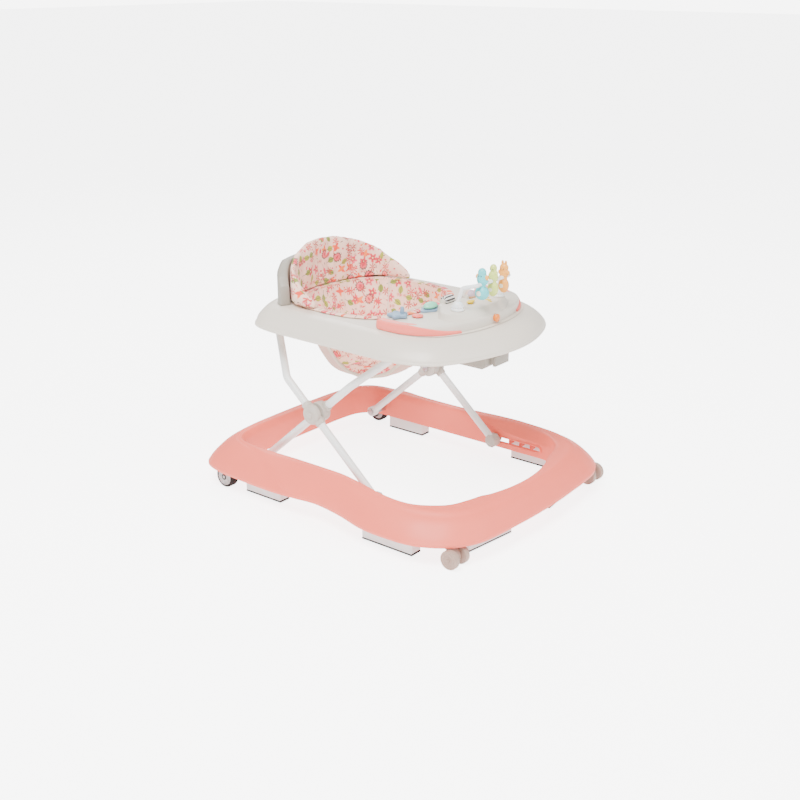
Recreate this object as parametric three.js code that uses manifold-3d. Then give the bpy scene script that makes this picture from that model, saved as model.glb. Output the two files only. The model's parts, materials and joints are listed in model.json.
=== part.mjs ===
// Baby walker: a wide plastic base ring on four wheels, a crossed-tube frame
// that raises and folds a tray, a fabric sling seat in the tray and a lift-off
// play console in front of it.
// Millimetres. +X forward (console end), +Y the child's left, +Z up, floor at z = 0.
import * as THREE from 'three';
import { mergeVertices } from 'three/addons/utils/BufferGeometryUtils.js';
import Module from 'manifold-3d';

const wasm = await Module();
wasm.setup();

// ---------------------------------------------------------------- dimensions
const SHIFT_X = 23;            // moves the footprint's middle to x = 0
const FLOOR_GAP = 3;           // stair-stop pads hang this far above the floor
const GAP = 0.35;              // running or fitting gap between pieces

const WALL = 3;                // moulded wall thickness
const BASE_SKIRT_Z = 40;       // lower outer edge of the base ring
const BASE_WALL_Z = 34;        // lower edge of its inner wall
const BASE_WALL_Y = 219;       // straight inner side walls

const ARM = 219;               // half length of every scissor arm, pivot to pivot
const THETA = 41.1 * Math.PI / 180;  // arm angle to the floor, tray at its highest
const PIVOT_X = -257.3;        // rear pivots, base and tray
const PIVOT_Z = 54.1;          // base pivots
const TUBE_R = 8;              // 16 mm steel tube
const OUTER_Y = 204;           // plane of the outer arms
const INNER_Y = 181.5;         // plane of the inner arms
const HUB_R = 21;
const HUB_X = PIVOT_X + ARM * Math.cos(THETA);
const HUB_Z = PIVOT_Z + ARM * Math.sin(THETA);
const TOP_Z = PIVOT_Z + 2 * ARM * Math.sin(THETA);   // tray pivots
const FRONT_X = PIVOT_X + 2 * ARM * Math.cos(THETA); // sliding pivots
const SLIDE = 108;             // travel of the sliding pivots when folded

const REAR_WHEEL_R = 24;
const REAR_WHEEL_X = -300;
const REAR_WHEEL_Y = 256;
const CASTER_R = 19.5;
const CASTER_X = 300;          // wheel axle; the swivel axis is a little behind and inside it
const CASTER_Y = 250;
const SWIVEL_X = 284;
const CASTER_TRACK = 32;       // between the twin wheels

const TRAY_EDGE_Z = 356;       // lower edge of the tray skirt
const TRAY_TOP_Z = 398;
const ROOF_Z = 393.5;          // flat underside of the tray deck
const SEAT_BOTTOM_Z = 246;

const CONSOLE_Z = TRAY_TOP_Z + 0.6;
const CONSOLE_DECK_Z = 417;
const CONSOLE_HUMP_Z = 431;
const ARCH_X = 165, ARCH_Y = 68, BAR_X = 199.5, BAR_Z = 482, ARCH_R = 4;

// ---------------------------------------------------------------- materials
const mat = (hex, rough, metal = 0) =>
  new THREE.MeshStandardMaterial({ color: hex, roughness: rough, metalness: metal });
const PINK = mat(0xf2b5aa, 0.5), SHELL = mat(0xdcd7d0, 0.5), GREY = mat(0xb0aca3, 0.5);
const CONSOLE = mat(0xd9d2ca, 0.5), TRIM = mat(0xf6bab3, 0.45), TUBE = mat(0xeceeec, 0.35, 0.1);
const HUB = mat(0xc4bfb8, 0.5), WHITE = mat(0xecefec, 0.5), RUBBER = mat(0x222222, 0.9);
const STEEL = mat(0xb8babb, 0.3, 1), TYRE = mat(0x241c1b, 0.85), FABRIC = mat(0xf0e0d2, 0.95);
const CASTER = mat(0xc0b6b1, 0.5), MINT_COL = mat(0xc6e2d0, 0.5), TEAL = mat(0xa2d9d2, 0.5), LIME = mat(0xdcd6ac, 0.5);
const ORANGE = mat(0xf0cc98, 0.5), SLATE = mat(0x8b98a3, 0.5);
const AMBER = mat(0xf9ab66, 0.45), YELLOW = mat(0xe2cf6c, 0.5), DARK = mat(0x3a3436, 0.7);

// ---------------------------------------------------------------- helpers
function clean(geometry) {
  let g = geometry.clone();
  for (const k of Object.keys(g.attributes)) if (k !== 'position') g.deleteAttribute(k);
  g.morphAttributes = {};
  g = mergeVertices(g, 1e-4);
  const p = g.attributes.position, src = g.index.array, idx = [];
  for (let i = 0; i < src.length; i += 3) {
    const [a, b, c] = [src[i], src[i + 1], src[i + 2]];
    if (a !== b && b !== c && c !== a) idx.push(a, b, c);
  }
  let vol = 0;
  const A = new THREE.Vector3(), B = new THREE.Vector3(), C = new THREE.Vector3();
  for (let i = 0; i < idx.length; i += 3) {
    A.fromBufferAttribute(p, idx[i]); B.fromBufferAttribute(p, idx[i + 1]); C.fromBufferAttribute(p, idx[i + 2]);
    vol += A.dot(B.cross(C)) / 6;
  }
  if (vol < 0) for (let i = 0; i < idx.length; i += 3) [idx[i], idx[i + 1]] = [idx[i + 1], idx[i]];
  g.setIndex(idx);
  return g;
}
function solid(geometry) {
  const g = clean(geometry);
  return new wasm.Manifold(new wasm.Mesh({
    numProp: 3,
    vertProperties: new Float32Array(g.attributes.position.array),
    triVerts: new Uint32Array(g.index.array),
  }));
}
function toGeometry(man) {
  const m = man.getMesh(), g = new THREE.BufferGeometry();
  const n = m.numProp, v = new Float32Array(m.vertProperties.length / n * 3);
  for (let i = 0; i < v.length / 3; i++) for (let k = 0; k < 3; k++) v[3 * i + k] = m.vertProperties[n * i + k];
  g.setAttribute('position', new THREE.BufferAttribute(v, 3));
  g.setIndex(new THREE.BufferAttribute(new Uint32Array(m.triVerts), 1));
  return g;
}
const move = (g, x, y, z) => g.clone().translate(x, y, z);
const mirrorY = (g) => clean(g.clone().scale(1, -1, 1));

// closed loop of sections, each a closed polygon
function loftLoop(sections) {
  const n = sections.length, m = sections[0].length, pos = [], idx = [];
  for (const s of sections) for (const p of s) pos.push(p[0], p[1], p[2]);
  for (let i = 0; i < n; i++) for (let j = 0; j < m; j++) {
    const i2 = (i + 1) % n, j2 = (j + 1) % m;
    idx.push(i * m + j, i2 * m + j, i2 * m + j2, i * m + j, i2 * m + j2, i * m + j2);
  }
  const g = new THREE.BufferGeometry();
  g.setAttribute('position', new THREE.BufferAttribute(new Float32Array(pos), 3));
  g.setIndex(idx);
  return clean(g);
}
// stack of closed rings with both ends filled by a fan about each end's middle
function loftStack(rings) {
  const n = rings.length, m = rings[0].length, pos = [], idx = [];
  for (const r of rings) for (const p of r) pos.push(p[0], p[1], p[2]);
  for (let i = 0; i + 1 < n; i++) for (let j = 0; j < m; j++) {
    const j2 = (j + 1) % m;
    idx.push(i * m + j, i * m + j2, (i + 1) * m + j2, i * m + j, (i + 1) * m + j2, (i + 1) * m + j);
  }
  const mean = (r) => [0, 1, 2].map((k) => r.reduce((s, p) => s + p[k], 0) / m);
  const a = n * m, b = a + 1;
  pos.push(...mean(rings[0]), ...mean(rings[n - 1]));
  for (let j = 0; j < m; j++) {
    const j2 = (j + 1) % m;
    idx.push(a, j2, j, b, (n - 1) * m + j, (n - 1) * m + j2);
  }
  const g = new THREE.BufferGeometry();
  g.setAttribute('position', new THREE.BufferAttribute(new Float32Array(pos), 3));
  g.setIndex(idx);
  return clean(g);
}
// half outline [[x, |y|], ...] from the rear middle to the front middle -> closed curve
function outline(half) {
  const pts = half.map(([x, y]) => new THREE.Vector3(x, y, 0));
  const back = half.slice(1, -1).reverse().map(([x, y]) => new THREE.Vector3(x, -y, 0));
  return new THREE.CatmullRomCurve3([...pts, ...back], true, 'catmullrom', 0.5);
}
const at = (curve, i, n) => { const p = curve.getPoint((i / n) % 1); return [p.x, p.y]; };
const mix = (a, b, t) => [a[0] + (b[0] - a[0]) * t, a[1] + (b[1] - a[1]) * t];
const push = (a, b, d) => { // from a towards b by d
  const l = Math.hypot(b[0] - a[0], b[1] - a[1]) || 1;
  return [a[0] + (b[0] - a[0]) * d / l, a[1] + (b[1] - a[1]) * d / l];
};
const smooth = (x, a, b) => { const t = Math.min(1, Math.max(0, (x - a) / (b - a))); return t * t * (3 - 2 * t); };

// a path whose stations are given one by one, for ExtrudeGeometry
class StationPath extends THREE.Curve {
  constructor(points) { super(); this.pts = points; }
  getPoint(t, target = new THREE.Vector3()) {
    const u = t * (this.pts.length - 1), i = Math.min(Math.floor(u), this.pts.length - 2);
    return target.lerpVectors(this.pts[i], this.pts[i + 1], u - i);
  }
  getPointAt(u, target) { return this.getPoint(u, target); }
  getSpacedPoints() { return this.pts.map((p) => p.clone()); }
  getTangentAt(u, target = new THREE.Vector3()) {
    const i = Math.round(u * (this.pts.length - 1));
    const a = this.pts[Math.max(0, i - 1)], b = this.pts[i], c = this.pts[Math.min(this.pts.length - 1, i + 1)];
    const d1 = b.clone().sub(a).normalize(), d2 = c.clone().sub(b).normalize();
    return target.copy(d1).add(d2).normalize();
  }
  getTangent(u, target) { return this.getTangentAt(u, target); }
}
const V = (x, y, z) => new THREE.Vector3(x, y, z);
// corner points -> stations with rounded bends
function bendPath(corners, radius, steps = 3) {
  const out = [corners[0].clone()];
  for (let i = 1; i < corners.length - 1; i++) {
    const p = corners[i], a = corners[i - 1].clone().sub(p), b = corners[i + 1].clone().sub(p);
    const half = a.angleTo(b) / 2;
    if (half > 1.55) continue;                  // no bend here
    const t = Math.min(radius / Math.tan(half), a.length() * 0.45, b.length() * 0.45);
    const s = p.clone().addScaledVector(a.normalize(), t), e = p.clone().addScaledVector(b.normalize(), t);
    const q = new THREE.QuadraticBezierCurve3(s, p.clone(), e);
    for (let k = 0; k <= steps; k++) out.push(q.getPoint(k / steps));
  }
  out.push(corners[corners.length - 1].clone());
  return out;
}
function disc2(radius, sides, phase = 0) {
  const s = new THREE.Shape();
  for (let i = 0; i < sides; i++) {
    const a = 2 * Math.PI * i / sides + phase, x = radius * Math.cos(a), y = radius * Math.sin(a);
    if (i) s.lineTo(x, y); else s.moveTo(x, y);
  }
  s.closePath();
  return s;
}
function tube(stations, radius, sides = 10) {
  return clean(new THREE.ExtrudeGeometry(disc2(radius, sides), {
    steps: stations.length - 1, extrudePath: new StationPath(stations), bevelEnabled: false,
  }));
}
// prism with its profile in XZ, running along Y from y0 to y1
function prismY(points, y0, y1) {
  const s = new THREE.Shape(points.map(([x, z]) => new THREE.Vector2(x, z)));
  const g = new THREE.ExtrudeGeometry(s, { depth: y1 - y0, bevelEnabled: false, steps: 1 });
  g.rotateX(Math.PI / 2);            // shape y -> z, depth -> -y
  return clean(g.translate(0, y1, 0));
}
// prism with its profile in XY, running up from z0 to z1
function prismZ(points, z0, z1) {
  const s = new THREE.Shape(points.map(([x, y]) => new THREE.Vector2(x, y)));
  return clean(new THREE.ExtrudeGeometry(s, { depth: z1 - z0, bevelEnabled: false, steps: 1 }).translate(0, 0, z0));
}
function cylY(r, y0, y1, x, z, sides = 20) {
  const g = new THREE.CylinderGeometry(r, r, y1 - y0, sides);
  g.rotateY(Math.PI / sides);
  return clean(g.translate(x, (y0 + y1) / 2, z));
}
function cylZ(r, z0, z1, x, y, sides = 12) {
  const g = new THREE.CylinderGeometry(r, r, z1 - z0, sides);
  g.rotateX(Math.PI / 2);
  return clean(g.translate(x, y, (z0 + z1) / 2));
}
// turned piece about Y: profile [[radius, y], ...]
function turnedY(profile, sides, x, y, z, closed = false) {
  const pts = profile.map(([r, h]) => new THREE.Vector2(r, h));
  if (closed) pts.push(pts[0].clone());
  const g = new THREE.LatheGeometry(pts, sides);
  g.rotateY(Math.PI / sides);
  return clean(g.translate(x, y, z));
}
const box = (x0, x1, y0, y1, z0, z1) =>
  clean(new THREE.BoxGeometry(x1 - x0, y1 - y0, z1 - z0).translate((x0 + x1) / 2, (y0 + y1) / 2, (z0 + z1) / 2));
const circle = (r, n, cx, cz, a0 = 0, a1 = 2 * Math.PI) =>
  Array.from({ length: n }, (_, i) => { const a = a0 + (a1 - a0) * i / (a1 - a0 === 2 * Math.PI ? n : n - 1); return [cx + r * Math.cos(a), cz + r * Math.sin(a)]; });

const walker = new THREE.Group();
walker.name = 'baby_walker';
walker.position.x = SHIFT_X;
function add(name, geometry, material, parent = walker) {
  const mesh = new THREE.Mesh(geometry, material);
  mesh.name = name;
  parent.add(mesh);
  return mesh;
}
function pair(name, geometry, material) {       // geometry is the left (+Y) one
  add(`${name}_left`, geometry, material);
  add(`${name}_right`, mirrorY(geometry), material);
}

// ---------------------------------------------------------------- base ring
const WALL_LINE = outline([[-318, 0], [-318, 70], [-317, 130], [-311, 178], [-294, 205], [-266, 217.5],
  [-200, BASE_WALL_Y], [-130, BASE_WALL_Y], [-60, BASE_WALL_Y], [0, BASE_WALL_Y], [60, BASE_WALL_Y], [120, BASE_WALL_Y],
  [190, BASE_WALL_Y], [217, 211], [242, 188], [256, 150], [264, 120], [274, 98], [285, 52], [289, 0]]);
const CROWN_IN = outline([[-323, 0], [-323, 70], [-322, 130], [-315, 181], [-297, 210], [-267, 222],
  [-200, 224], [-130, 221.5], [-60, 221], [0, 222], [60, 231], [120, 240],
  [178, 236], [214, 219], [243, 191], [258, 152], [266, 121], [276, 98.5], [287, 52], [291, 0]]);
const CROWN_OUT = outline([[-345, 0], [-344, 75], [-341, 135], [-331, 190], [-307, 226], [-268, 241],
  [-200, 244], [-130, 241], [-60, 240], [0, 243], [60, 252], [120, 260],
  [182, 260], [230, 247], [268, 220], [291, 180], [301, 130], [306, 98], [309, 52], [310, 0]]);
const SKIRT = outline([[-391, 0], [-390, 85], [-388, 150], [-379, 212], [-352, 262], [-300, 281],
  [-225, 286], [-140, 287], [-80, 281], [-26, 275], [45, 286], [115, 304],
  [185, 306], [245, 296], [298, 262], [328, 212], [338, 150], [341, 105], [344, 55], [345, 0]]);
const BASE_N = 38;
const outerSections = [], channelSections = [];
for (let i = 0; i < BASE_N; i++) {
  const w = at(WALL_LINE, i, BASE_N), c1 = at(CROWN_IN, i, BASE_N), c2 = at(CROWN_OUT, i, BASE_N), o = at(SKIRT, i, BASE_N);
  const crown = 98 - 8 * smooth(w[0], 0, 210), P = (q, z) => [q[0], q[1], z];
  const m1 = mix(c2, o, 0.42), m2 = mix(c2, o, 0.8);
  const drop = crown - 2 - BASE_SKIRT_Z;
  outerSections.push([P(w, BASE_WALL_Z), P(w, crown - 13), P(c1, crown - 2), P(mix(c1, c2, 0.5), crown), P(c2, crown - 2.5),
    P(m1, crown - 2 - drop * 0.26), P(m2, crown - 2 - drop * 0.62), P(o, BASE_SKIRT_Z + 5), P(o, BASE_SKIRT_Z)]);
  const wi = push(w, o, WALL), oi = push(o, w, WALL + 0.5), c1i = push(c1, o, 2.4), c2i = push(c2, w, 1.2);
  const m1i = push(m1, w, 2.2), m2i = push(m2, w, 2.8);
  channelSections.push([P(wi, 5), P(wi, crown - 14.6), P(c1i, crown - 5.4), P(c2i, crown - 5.8),
    P(m1i, crown - 4.8 - drop * 0.26), P(m2i, crown - 4.8 - drop * 0.62), P(oi, BASE_SKIRT_Z + 2), P(oi, 5)]);
}
const baseSolid = solid(loftLoop(outerSections));
let baseRing = baseSolid.subtract(solid(loftLoop(channelSections)));

// stair-stop pads: [x0, x1, y0, y1] on the left side, and one pair under the front
const PADS = {
  pad_rear: [-245, -145, 228, 255.4],
  pad_side: [93.6, 217, 247, 275],
};
const PAD_TOP = 58;
const FRONT_PAD = { x: 289.5, w: 20, y0: 70, y1: 193 };   // runs along Y, slightly askew with the rim
const bosses = [];
for (const [x0, x1, y0, y1] of Object.values(PADS))
  for (const s of [1, -1]) for (const f of [0.2, 0.8]) {
    const xc = x0 + (x1 - x0) * f, yc = s * (y0 + y1) / 2;
    bosses.push(box(xc - 6, xc + 6, yc - 9, yc + 9, PAD_TOP + GAP, 120));
  }
for (const s of [1, -1]) {
  for (const f of [0.2, 0.8]) {
    const yc = s * (FRONT_PAD.y0 + (FRONT_PAD.y1 - FRONT_PAD.y0) * f);
    bosses.push(box(FRONT_PAD.x - 7 - f * 8 + 4, FRONT_PAD.x + 7 - f * 8 + 4, yc - 6, yc + 6, PAD_TOP + GAP, 120));
  }
  bosses.push(cylZ(8.5, 45, 120, SWIVEL_X, s * CASTER_Y, 12));
  bosses.push(box(REAR_WHEEL_X - 9, REAR_WHEEL_X + 9, s * 239 - 7, s * 239 + 7, 66 + GAP, 120));
}
for (const b of bosses) baseRing = baseRing.add(solid(b).intersect(baseSolid));
for (const s of [1, -1]) {
  // slot for the sliding pin, round-ended, in the inner wall
  const r = 4.9, x0 = FRONT_X, x1 = FRONT_X + SLIDE + 1;
  const slot = [...circle(r, 7, x1, PIVOT_Z, -Math.PI / 2, Math.PI / 2), ...circle(r, 7, x0, PIVOT_Z, Math.PI / 2, 3 * Math.PI / 2)];
  baseRing = baseRing.subtract(solid(s > 0 ? prismY(slot, 210, 226) : prismY(slot, -226, -210)));
  // rear pivot holes and caster stem holes
  baseRing = baseRing.subtract(solid(s > 0 ? cylY(5.2, 210, 230, PIVOT_X, PIVOT_Z, 14) : cylY(5.2, -230, -210, PIVOT_X, PIVOT_Z, 14)));
  baseRing = baseRing.subtract(solid(cylZ(5, 40, 58.5, SWIVEL_X, s * CASTER_Y, 10)));
}
add('base_ring', toGeometry(baseRing), PINK);

for (const [name, [x0, x1, y0, y1]] of Object.entries(PADS)) {   // white blocks with rubber soles
  pair(name, box(x0, x1, y0, y1, FLOOR_GAP + 3 + GAP, PAD_TOP), WHITE);
  pair(`${name}_sole`, box(x0, x1, y0, y1, FLOOR_GAP, FLOOR_GAP + 3), RUBBER);
}
{
  const { x, w, y0, y1 } = FRONT_PAD;
  const foot = [[x - w / 2 + 7.5, y0], [x + w / 2 + 7.5, y0], [x + w / 2 - 7.5, y1], [x - w / 2 - 7.5, y1]];
  pair('pad_front', prismZ(foot, FLOOR_GAP + 3 + GAP, PAD_TOP), WHITE);
  pair('pad_front_sole', prismZ(foot, FLOOR_GAP, FLOOR_GAP + 3), RUBBER);
}

// ---------------------------------------------------------------- rear wheels
const SIDES = 18;
{
  const zc = REAR_WHEEL_R * Math.cos(Math.PI / SIDES), R = REAR_WHEEL_R;
  pair('rear_tyre', turnedY([[18.6, -9], [R - 2, -11], [R, -8], [R, 8], [R - 2, 11], [18.6, 9]], SIDES, REAR_WHEEL_X, REAR_WHEEL_Y, zc, true), TYRE);
  pair('rear_wheel_hub', turnedY([[4.3, -8.5], [18.2, -8.5], [17.6, 10], [4.3, 9.2]], SIDES, REAR_WHEEL_X, REAR_WHEEL_Y, zc, true), HUB);
  // bracket beside the wheel, with the stub axle in one piece
  const ear = [[-12, 66], [12, 66], [12, 30], [7, zc - 9], [-7, zc - 9], [-12, 30]].map(([a, b]) => [REAR_WHEEL_X + a, b]);
  const bracket = solid(prismY(ear, 232.5, 243.5))
    .add(solid(cylY(3.9, 240, REAR_WHEEL_Y + 10.5, REAR_WHEEL_X, zc, 14)))
    .add(solid(cylY(7, REAR_WHEEL_Y + 9.7, REAR_WHEEL_Y + 11.5, REAR_WHEEL_X, zc, 14)));
  pair('rear_wheel_bracket', toGeometry(bracket), DARK);
}
// ---------------------------------------------------------------- casters
{
  const zc = CASTER_R * Math.cos(Math.PI / 16), R = CASTER_R;
  const wheel = (y) => turnedY([[3.5, -6], [R - 2, -6], [R, -3], [R, 3], [R - 2, 6], [3.5, 6]], 16, CASTER_X, y, zc, true);
  for (const [side, s] of [['left', 1], ['right', -1]]) {
    for (const [pos, k] of [['outer', 1], ['inner', -1]])
      add(`caster_wheel_${pos}_${side}`, wheel(s * (CASTER_Y + k * CASTER_TRACK / 2)), CASTER);
  }
  const neck = [[7, zc - 7], [8.5, zc], [5, zc + 8], [-2, 36], [-6, 39.4], [-25, 39.4], [-25, 37.5], [-15, 33], [-9, zc], [-5, zc - 7]].map(([a, b]) => [CASTER_X + a, b]);
  const fork = solid(prismY(neck, CASTER_Y - 9.4, CASTER_Y + 9.4))
    .add(solid(cylZ(7.4, 38.5, 44.2, SWIVEL_X, CASTER_Y, 12)))
    .add(solid(cylZ(4.4, 42, 56.5, SWIVEL_X, CASTER_Y, 10)))
    .add(solid(cylY(3, CASTER_Y - 23.5, CASTER_Y + 23.5, CASTER_X, zc, 8)));
  pair('caster_fork', toGeometry(fork), CASTER);
}

// ---------------------------------------------------------------- scissor frame
const dir = (a) => [Math.cos(a), Math.sin(a)];
// point on an arm line at signed distance d from the hub (upwards positive)
const onOuter = (d, y) => V(HUB_X - d * Math.cos(THETA), y, HUB_Z + d * Math.sin(THETA));
const onInner = (d, y) => V(HUB_X + d * Math.cos(THETA), y, HUB_Z + d * Math.sin(THETA));
const BEND = 95;
function uTube(on, y, yTop, bend, short = 0) {
  const left = [on(short - ARM, y), on(-ARM / 2, y), on(0, y), on(bend, y), on(ARM, yTop)];
  const right = left.slice().reverse().map((p) => V(p.x, -p.y, p.z));
  return bendPath([...left, ...right], 34, 3);
}
const hubPinR = 4;
let outerTube = solid(tube(uTube(onOuter, OUTER_Y, 130, BEND), TUBE_R));
let innerTube = solid(tube(uTube(onInner, INNER_Y, 124, BEND + 12, 7), TUBE_R));
for (const s of [1, -1]) {
  const pin = (r, a, b, x, z) => solid(s > 0 ? cylY(r, a, b, x, z, 10) : cylY(r, -b, -a, x, z, 10));
  outerTube = outerTube.subtract(pin(hubPinR + 0.4, 170, 230, HUB_X, HUB_Z));
  innerTube = innerTube.subtract(pin(hubPinR + 0.4, 150, 210, HUB_X, HUB_Z));
}
// the inner arms carry eyes at their lower ends
const eyeHole = 4.9;
for (const s of [1, -1]) {
  const eye = s > 0 ? cylY(11.5, INNER_Y - 8.5, INNER_Y + 8.5, PIVOT_X, PIVOT_Z, 14) : cylY(11.5, -INNER_Y - 8.5, -INNER_Y + 8.5, PIVOT_X, PIVOT_Z, 14);
  const hole = s > 0 ? cylY(eyeHole, 150, 210, PIVOT_X, PIVOT_Z, 10) : cylY(eyeHole, -210, -150, PIVOT_X, PIVOT_Z, 10);
  innerTube = innerTube.add(solid(eye)).subtract(solid(hole));
}
add('outer_frame_tube', toGeometry(outerTube), TUBE);
add('inner_frame_tube', toGeometry(innerTube), TUBE);

// hub shells: saddles over each tube, the outer one on the outside
{
  const hole = solid(cylY(hubPinR + 0.4, 150, 230, HUB_X, HUB_Z, 10));
  const cut = (on, y) => solid(tube([on(-60, y), on(0, y), on(60, y)], TUBE_R + 0.7, 8));
  const outer = solid(turnedY([[0, 0], [HUB_R, 0], [HUB_R, 8.5], [HUB_R - 3.5, 12], [0, 12]], 16, HUB_X, OUTER_Y, HUB_Z))
    .subtract(cut(onOuter, OUTER_Y)).subtract(hole);
  const inner = solid(turnedY([[0, 0], [HUB_R, 0], [HUB_R, 14], [0, 14]], 16, HUB_X, INNER_Y, HUB_Z))
    .subtract(cut(onInner, INNER_Y)).subtract(hole);
  pair('hub_shell_outer', toGeometry(outer), HUB);
  pair('hub_shell_inner', toGeometry(inner), HUB);
  pair('hub_pin', turnedY([[0, 168], [7, 168], [7, 171.5], [hubPinR, 171.5], [hubPinR, 216.3], [0, 216.3]], 10, HUB_X, 0, HUB_Z), STEEL);
}
// sliding feet of the outer arms
{
  const foot = [[-14, 4], [-8, 13], [4, 13], [12, 4], [12, -7], [6, -13], [-4, -13], [-12, -7]].map(([a, b]) => [FRONT_X + a, PIVOT_Z + b]);
  const slider = solid(prismY(foot, OUTER_Y - 11, OUTER_Y + 11.5))
    .subtract(solid(tube([onOuter(-ARM - 0.5, OUTER_Y), onOuter(-ARM / 2, OUTER_Y)], TUBE_R + 0.7, 8)))
    .add(solid(cylY(4.2, OUTER_Y + 9.5, 228, FRONT_X, PIVOT_Z, 10)))
    .add(solid(cylY(8.5, 223.4, 226.4, FRONT_X, PIVOT_Z, 10)));
  pair('slider_foot', toGeometry(slider), CASTER);
  pair('pivot_pin', turnedY([[0, INNER_Y - 13], [7.5, INNER_Y - 13], [7.5, INNER_Y - 9], [4.4, INNER_Y - 9], [4.4, INNER_Y + 9.2],
    [8.5, INNER_Y + 9.2], [9.5, 216.6], [4.7, 216.6], [4.7, 224], [0, 224]], 10, PIVOT_X, 0, PIVOT_Z), STEEL);
}

// ---------------------------------------------------------------- tray
const HOLE = outline([[-238, 0], [-235, 52], [-222, 92], [-196, 122], [-158, 142], [-110, 149], [-60, 147], [-20, 137], [10, 115], [30, 78], [37, 40], [38, 0]]);
const DECK = outline([[-266, 0], [-264, 72], [-256, 128], [-234, 164], [-190, 178], [-125, 180], [-45, 180], [40, 180], [115, 176], [172, 146], [203, 78], [212, 0]]);
const RIM = outline([[-286, 0], [-285, 84], [-280, 148], [-256, 199], [-205, 219], [-125, 223], [-40, 224], [50, 225], [135, 222], [206, 187], [250, 98], [266, 0]]);
const TRAY_N = 36;
{
  const outerS = [], innerS = [];
  for (let i = 0; i < TRAY_N; i++) {
    const h = at(HOLE, i, TRAY_N), d = at(DECK, i, TRAY_N), r = at(RIM, i, TRAY_N), P = (q, z) => [q[0], q[1], z];
    const drop = TRAY_TOP_Z - TRAY_EDGE_Z;
    outerS.push([P(h, 374), P(h, TRAY_TOP_Z - 3), P(push(h, d, 4), TRAY_TOP_Z - 0.2), P(d, TRAY_TOP_Z - 0.2),
      P(mix(d, r, 0.34), TRAY_TOP_Z - drop * 0.14), P(mix(d, r, 0.72), TRAY_TOP_Z - drop * 0.46),
      P(mix(d, r, 0.95), TRAY_TOP_Z - drop * 0.8), P(r, TRAY_EDGE_Z + 3), P(r, TRAY_EDGE_Z)]);
    const hi = push(h, r, WALL), ri = push(r, h, WALL + 0.3);
    innerS.push([P(hi, 340), P(hi, ROOF_Z), P(push(d, h, 1), ROOF_Z), P(push(mix(d, r, 0.34), h, 2), TRAY_TOP_Z - drop * 0.14 - 3.2),
      P(push(mix(d, r, 0.72), h, 2.6), TRAY_TOP_Z - drop * 0.46 - 2.6), P(push(mix(d, r, 0.95), h, 3.2), TRAY_TOP_Z - drop * 0.8 - 1), P(ri, 340)]);
  }
  const shell = solid(loftLoop(outerS)).subtract(solid(loftLoop(innerS)));
  add('tray_shell', toGeometry(shell), SHELL);
}
// rear hinge blocks carry the crossing of the outer tube
{
  const prof = [[-260, ROOF_Z - GAP], [-243, ROOF_Z - GAP], [-243, 362], ...circle(15, 9, PIVOT_X, TOP_Z, 0.35, -Math.PI - 0.1), [-266.5, 366]];
  const block = solid(prismY(prof, 70, 92)).subtract(solid(cylY(TUBE_R + 0.45, 60, 100, PIVOT_X, TOP_Z, 16)));
  pair('rear_hinge_block', toGeometry(block), SHELL);
}
// height rack: the crossing of the inner tube runs in its slot
const RACK = { x0: 52, x1: 214, y: 40, z0: 312 };
const LATCH = { x0: 196, x1: 226, y: 24, z0: 321, z1: 334 };
{
  const prof = [[RACK.x0, ROOF_Z - GAP], [RACK.x0, 322], [150, RACK.z0], [RACK.x1 - 8, RACK.z0], [RACK.x1, 320], [RACK.x1, 352], [198, 372], [198, ROOF_Z - GAP]];
  const r = TUBE_R + 1.1, x0 = FRONT_X, x1 = FRONT_X + SLIDE + 1;
  const slot = [...circle(r, 7, x1, TOP_Z, -Math.PI / 2, Math.PI / 2), ...circle(r, 7, x0, TOP_Z, Math.PI / 2, 3 * Math.PI / 2)];
  let rack = solid(prismY(prof, -RACK.y, RACK.y)).subtract(solid(prismY(slot, -50, 50)));
  for (const x of [FRONT_X + 26, FRONT_X + 50]) rack = rack.subtract(solid(cylY(8.6, -50, 50, x, TOP_Z + 5, 12)));
  rack = rack.subtract(solid(box(LATCH.x0 - 10, RACK.x1 + 5, -LATCH.y - 0.5, LATCH.y + 0.5, LATCH.z0 - 0.5, LATCH.z1 + 0.5)));
  // finger gap under the latch grip
  rack = rack.subtract(solid(box(205.5, RACK.x1 + 5, -18, 18, 300, LATCH.z0 + 1)));
  add('height_rack', toGeometry(rack), SHELL);
  const latch = solid(box(LATCH.x0, LATCH.x1 - 5, -LATCH.y, LATCH.y, LATCH.z0, LATCH.z1))
    .add(solid(box(LATCH.x1 - 6, LATCH.x1, -LATCH.y, LATCH.y, LATCH.z0 - 4, LATCH.z1 + 2)));
  add('height_latch', toGeometry(latch), GREY);
}

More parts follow.
